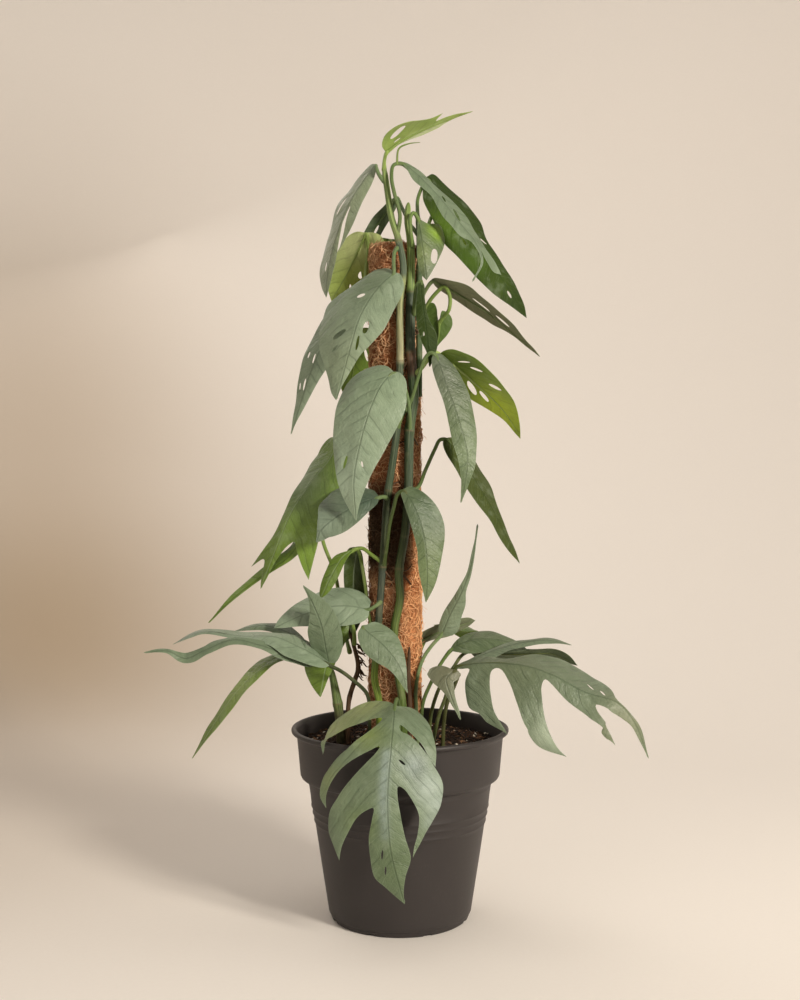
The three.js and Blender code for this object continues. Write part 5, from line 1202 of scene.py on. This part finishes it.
def leaf_paint(name, upper, gloss):
    """The finish of one face of the leaves."""
    leaf = Paint(name, Specular_IOR_Level=gloss, IOR=1.45)
    along, out, far, number, pale = [leaf.read(key) for key in ("along", "out", "far", "number", "pale")]
    tint = leaf.read("tint", "Color")
    away = out.math("ABSOLUTE")
    flat = leaf.vector(along, out, number * 31)
    phase = (along - away * 0.8 - away * away * 0.006) / VEIN_GAP + leaf.noise(flat, 0.05, 3) * 0.8
    vein = phase.math("PINGPONG", 0.5)
    between = (phase * 3 + leaf.noise(flat, 0.12) * 0.8).math("PINGPONG", 0.5)
    streak = leaf.noise(leaf.vector(phase * 12, away * 0.06, number * 7), 1.0, 4, 0.65)
    blotch = leaf.noise(flat, 0.05, 4, 0.62)
    speck = leaf.noise(flat, 1.3)
    clear = leaf.noise(leaf.vector(out, number * 17, along), 0.06).step(0.35, 0.65)
    rib = away.step(0.95, 0.25) * far.step(0.2, 2.0)
    line = vein.step(0.1, 0.01) * (1 - rib) * clear
    thin = between.step(0.2, 0.04) * (1 - rib) * 0.5
    light = leaf.mix(tint, "#c3d2bc" if upper else "#b9c99a", 0.26)
    deep = leaf.mix(tint, "#1d3018", 0.42)
    base = leaf.layers(
        tint,
        (light, streak.step(0.5, 0.75) * 0.35), (deep, streak.step(0.5, 0.28) * 0.3),
        (light, blotch.step(0.52, 0.7) * 0.45), (deep, blotch.step(0.48, 0.3) * 0.45),
        (deep, line * 0.55), (deep, vein.step(0.2, 0.0) * clear * 0.3),
        (leaf.mix(deep, light, pale), rib * (0.7 if upper else 0.5)),
        (light, far.step(0.6, 0.1) * 0.35), (deep, speck.step(0.62, 0.72) * 0.12),
    )
    dull = leaf.read("dull") * 0.2 + (0.22 if upper else 0.38)
    leaf.feed(Base_Color=base, Roughness=blotch * 0.2 + streak * 0.14 + dull)
    raised = line * 0.5 + thin * 0.3 + rib * 0.8 + vein.step(0.5, 0.0) * clear * 0.3
    wrinkle = leaf.noise(flat, 0.35, 3, 0.6) * 1.5
    leaf.bump(raised * (-1 if upper else 1) + streak * 0.4 + speck * 0.15 + wrinkle, 0.0006, 0.75)
    return leaf


leaf_upper, leaf_dark = leaf_paint("leaf_upper", True, 0.42), leaf_paint("leaf_dark", True, 0.16)
leaf_under = leaf_paint("leaf_under", False, 0.3)
print("leaf finish", len(leaf_upper.tree.nodes), "nodes")

# %% [markdown]
# ### All the leaves
#
# Each stalk is a swept tube that runs on under the blade as its midrib. It thickens where it leaves the stem and again
# just below the blade, where the real plant has a joint that turns the leaf to the light.

# %% Build the leaves
def plain_outline(spec):
    """Gives a leaf its margin, from its width alone, and a slit in each half."""
    length, wide = Surface(spec).length, spec["wide"][0][0]
    shape = [(-0.02, 0.42), (0.06, 0.78), (0.22, 1), (0.4, 0.97), (0.58, 0.78), (0.76, 0.46), (0.9, 0.18)]
    spec["right"] = spec["left"] = [(along * length, out * wide) for along, out in shape]
    near, distant = wide * 0.28, wide * 0.55
    spec["slits"] = [[length * 0.3, near, length * 0.44, distant, 1.3],
                     [length * 0.34, -near, length * 0.5, -distant, 1.4]]


def stalk_of(spec, surface, tint):
    """The stalk and the midrib under the blade, as one tapering tube."""
    share = np.array([0.015, 0.06, 0.14, 0.25, 0.4, 0.58, 0.76, 0.93])
    size = np.array([1.7, 1.45, 1.2, 1.0, 0.8, 0.6, 0.42, 0.22])
    sunk = np.array([0.6, 0.85, 0.9, 0.9, 0.9, 0.9, 0.9, 0.9])
    under, normal = surface.place(share * surface.length, np.zeros(len(share)))
    under = under - normal * (0.15 + sunk * size)[:, None]
    held = np.array(spec["stalk"])
    reach = np.linspace(1.9, 1.75, len(held))
    line, far = smooth_line(np.hstack([np.vstack([held, under]), np.concatenate([reach, size])[:, None]]), 1.6)
    meets = np.argmin(np.linalg.norm(line[:, :3] - under[0], axis=1)) * far[-1] / (len(far) - 1)
    first, last = np.exp(-(far / 7) ** 2), np.exp(-((far - meets) / 5) ** 2)
    radius = line[:, 3] * (1 + 0.35 * first + 0.16 * last)
    radius[0] *= 0.8
    return tube(spec["name"] + "_stalk", line[:, :3], radius, stem, tint, last * 0.55, sides=12)


total = 0
for number, spec in enumerate(LEAVES):
    name, look = spec["name"], spec["look"]
    if "wide" in spec:
        plain_outline(spec)
    tints, lobe_tints = [[GREENS[tone] for tone in spec[key].split()] for key in ("tints", "lobe_tints")]
    main, surface = blade(name + "_blade", spec, tints, number)
    skin = "#93ae55" if look == "green" else "#6f8a48"
    own = np.array(colour(tints[1])) * 0.4 + np.array(colour(skin)) * 0.6
    parts = [main, stalk_of(spec, surface, colour(spec["stalk_tint"]) if spec["stalk_tint"] else own)]
    parts += [blade(name + "_lobe", lobe, lobe_tints, number + 50 + k)[0] for k, lobe in enumerate(spec["lobes"])]
    if "tendril" in spec:
        parts.append(tapered(spec["tendril"], 1.5, [1.1, 0.8, 0.25], stem, SHOOT, 9, 0.6))
    whole = merge(name + "_piece", parts)
    total += len(whole.data.polygons)
    belongs(whole, SLOT[look], name)
print("leaves:", total, "faces")

# %% [markdown]
# ## Room and light
#
# The plant stands on a plain warm-beige sheet that curves up into the wall behind. Here it is a wide bowl, so that it
# looks the same from every side. A soft lamp high on the right lights the plant, a weaker one fills from the left, and
# a pale sky lifts the rest. The broad soft shadow on the left of the wall and on the floor beside the pot is painted
# shade: a few fading patches painted into the sheet, with one more painted dark patch on the floor right under the
# key lamp, where it would glare.

# %% Backdrop
def bowl(radius, height, bend, back):
    """A floor that curves up into a round wall, its middle set back towards the camera. All in metres."""
    profile = [(0.0, 0.0)] + [(r, 0.0) for r in np.linspace(0.25, radius - bend, 8)]
    turns = np.linspace(0.1, math.pi / 2, 14)
    profile += [(radius - bend + bend * math.sin(t), bend - bend * math.cos(t)) for t in turns]
    profile += [(radius, z) for z in np.linspace(bend + 0.2, height, 6)]
    mesh = turn_profile([(r / MM, z / MM) for r, z in profile], 96)
    mesh.transform(Matrix.Translation((0, -back, 0)))
    mesh.flip_normals()
    mesh.shade_smooth()
    return mesh


paper = Paint("paper", Roughness=0.95, Specular_IOR_Level=0.1)


def near(centre, reach, full=0.0):
    """1 within full of the centre, falling to 0 at reach."""
    inputs = {0: paper.place(), 1: centre}
    return paper.node("ShaderNodeVectorMath", inputs, "Value", operation="DISTANCE").step(reach, full)


# painted shade: fading patches darken the left of the wall and the floor beside the pot
shade = 0.0
for centre, reach, depth in [((-0.63, 1.0, 0.05), 0.8, 0.5), ((-0.85, 1.5, 0.4), 0.95, 0.5),
                             ((-0.95, 1.8, 0.95), 0.75, 0.2), ((-0.5, 0.25, 0.0), 0.6, 0.27)]:
    shade = near(centre, reach) * depth + shade
# painted shade: a grey patch on the floor under the key lamp hides its bright pool
lamp_pool_shade = near((1.3, -1.4, 0.0), 1.8, 0.2) * 0.8
tone = paper.mix("#f1ebe5", "#f4efe9", paper.noise(paper.place(), 260))
paper.feed(Base_Color=paper.layers(tone, ("#746e68", lamp_pool_shade), ("#88682c", shade)))
sheet = from_mesh("backdrop", bowl(2.9, 3.4, 1.35, 0.85), paper.material)
print("backdrop", len(sheet.data.polygons), "faces")

# %% Lamps
MIDDLE = (0, 0, 0.4)
for name, place, aim, size, power, tone, spread in [
    ("key", (1.48, -1.66, 1.05), (0, 0, 0.42), 0.44, 29, "#fff6e8", 130),
    ("fill", (-1.0, -1.5, 1.3), MIDDLE, 1.2, 3.5, "#fff6ea", 180),
    ("wall_wash", (0.35, 0.35, 2.3), (0.35, 2.0, 0.5), 1.2, 7, "#fff8f0", 180),
    ("back", (-0.9, 1.3, 1.6), MIDDLE, 1.2, 6, "#fff8f0", 180),
]:
    lamp = bpy.data.objects.new(name, bpy.data.lights.new(name, "AREA"))
    bpy.context.scene.collection.objects.link(lamp)
    lamp.location = place
    lamp.rotation_euler = (Vector(aim) - Vector(place)).to_track_quat("-Z", "Y").to_euler()
    lamp.data.size, lamp.data.energy, lamp.data.color = size, power, colour(tone)[:3]
    lamp.data.spread = math.radians(spread)
    lamp.visible_camera = False
    print(name, "lamp", power, "W")
world = bpy.data.worlds.new("room")
world.use_nodes = True
world.node_tree.nodes["Background"].inputs["Color"].default_value = colour("#fffaf4")
world.node_tree.nodes["Background"].inputs["Strength"].default_value = 0.25
scene = bpy.context.scene
scene.world = world
scene.view_settings.view_transform = "Standard"
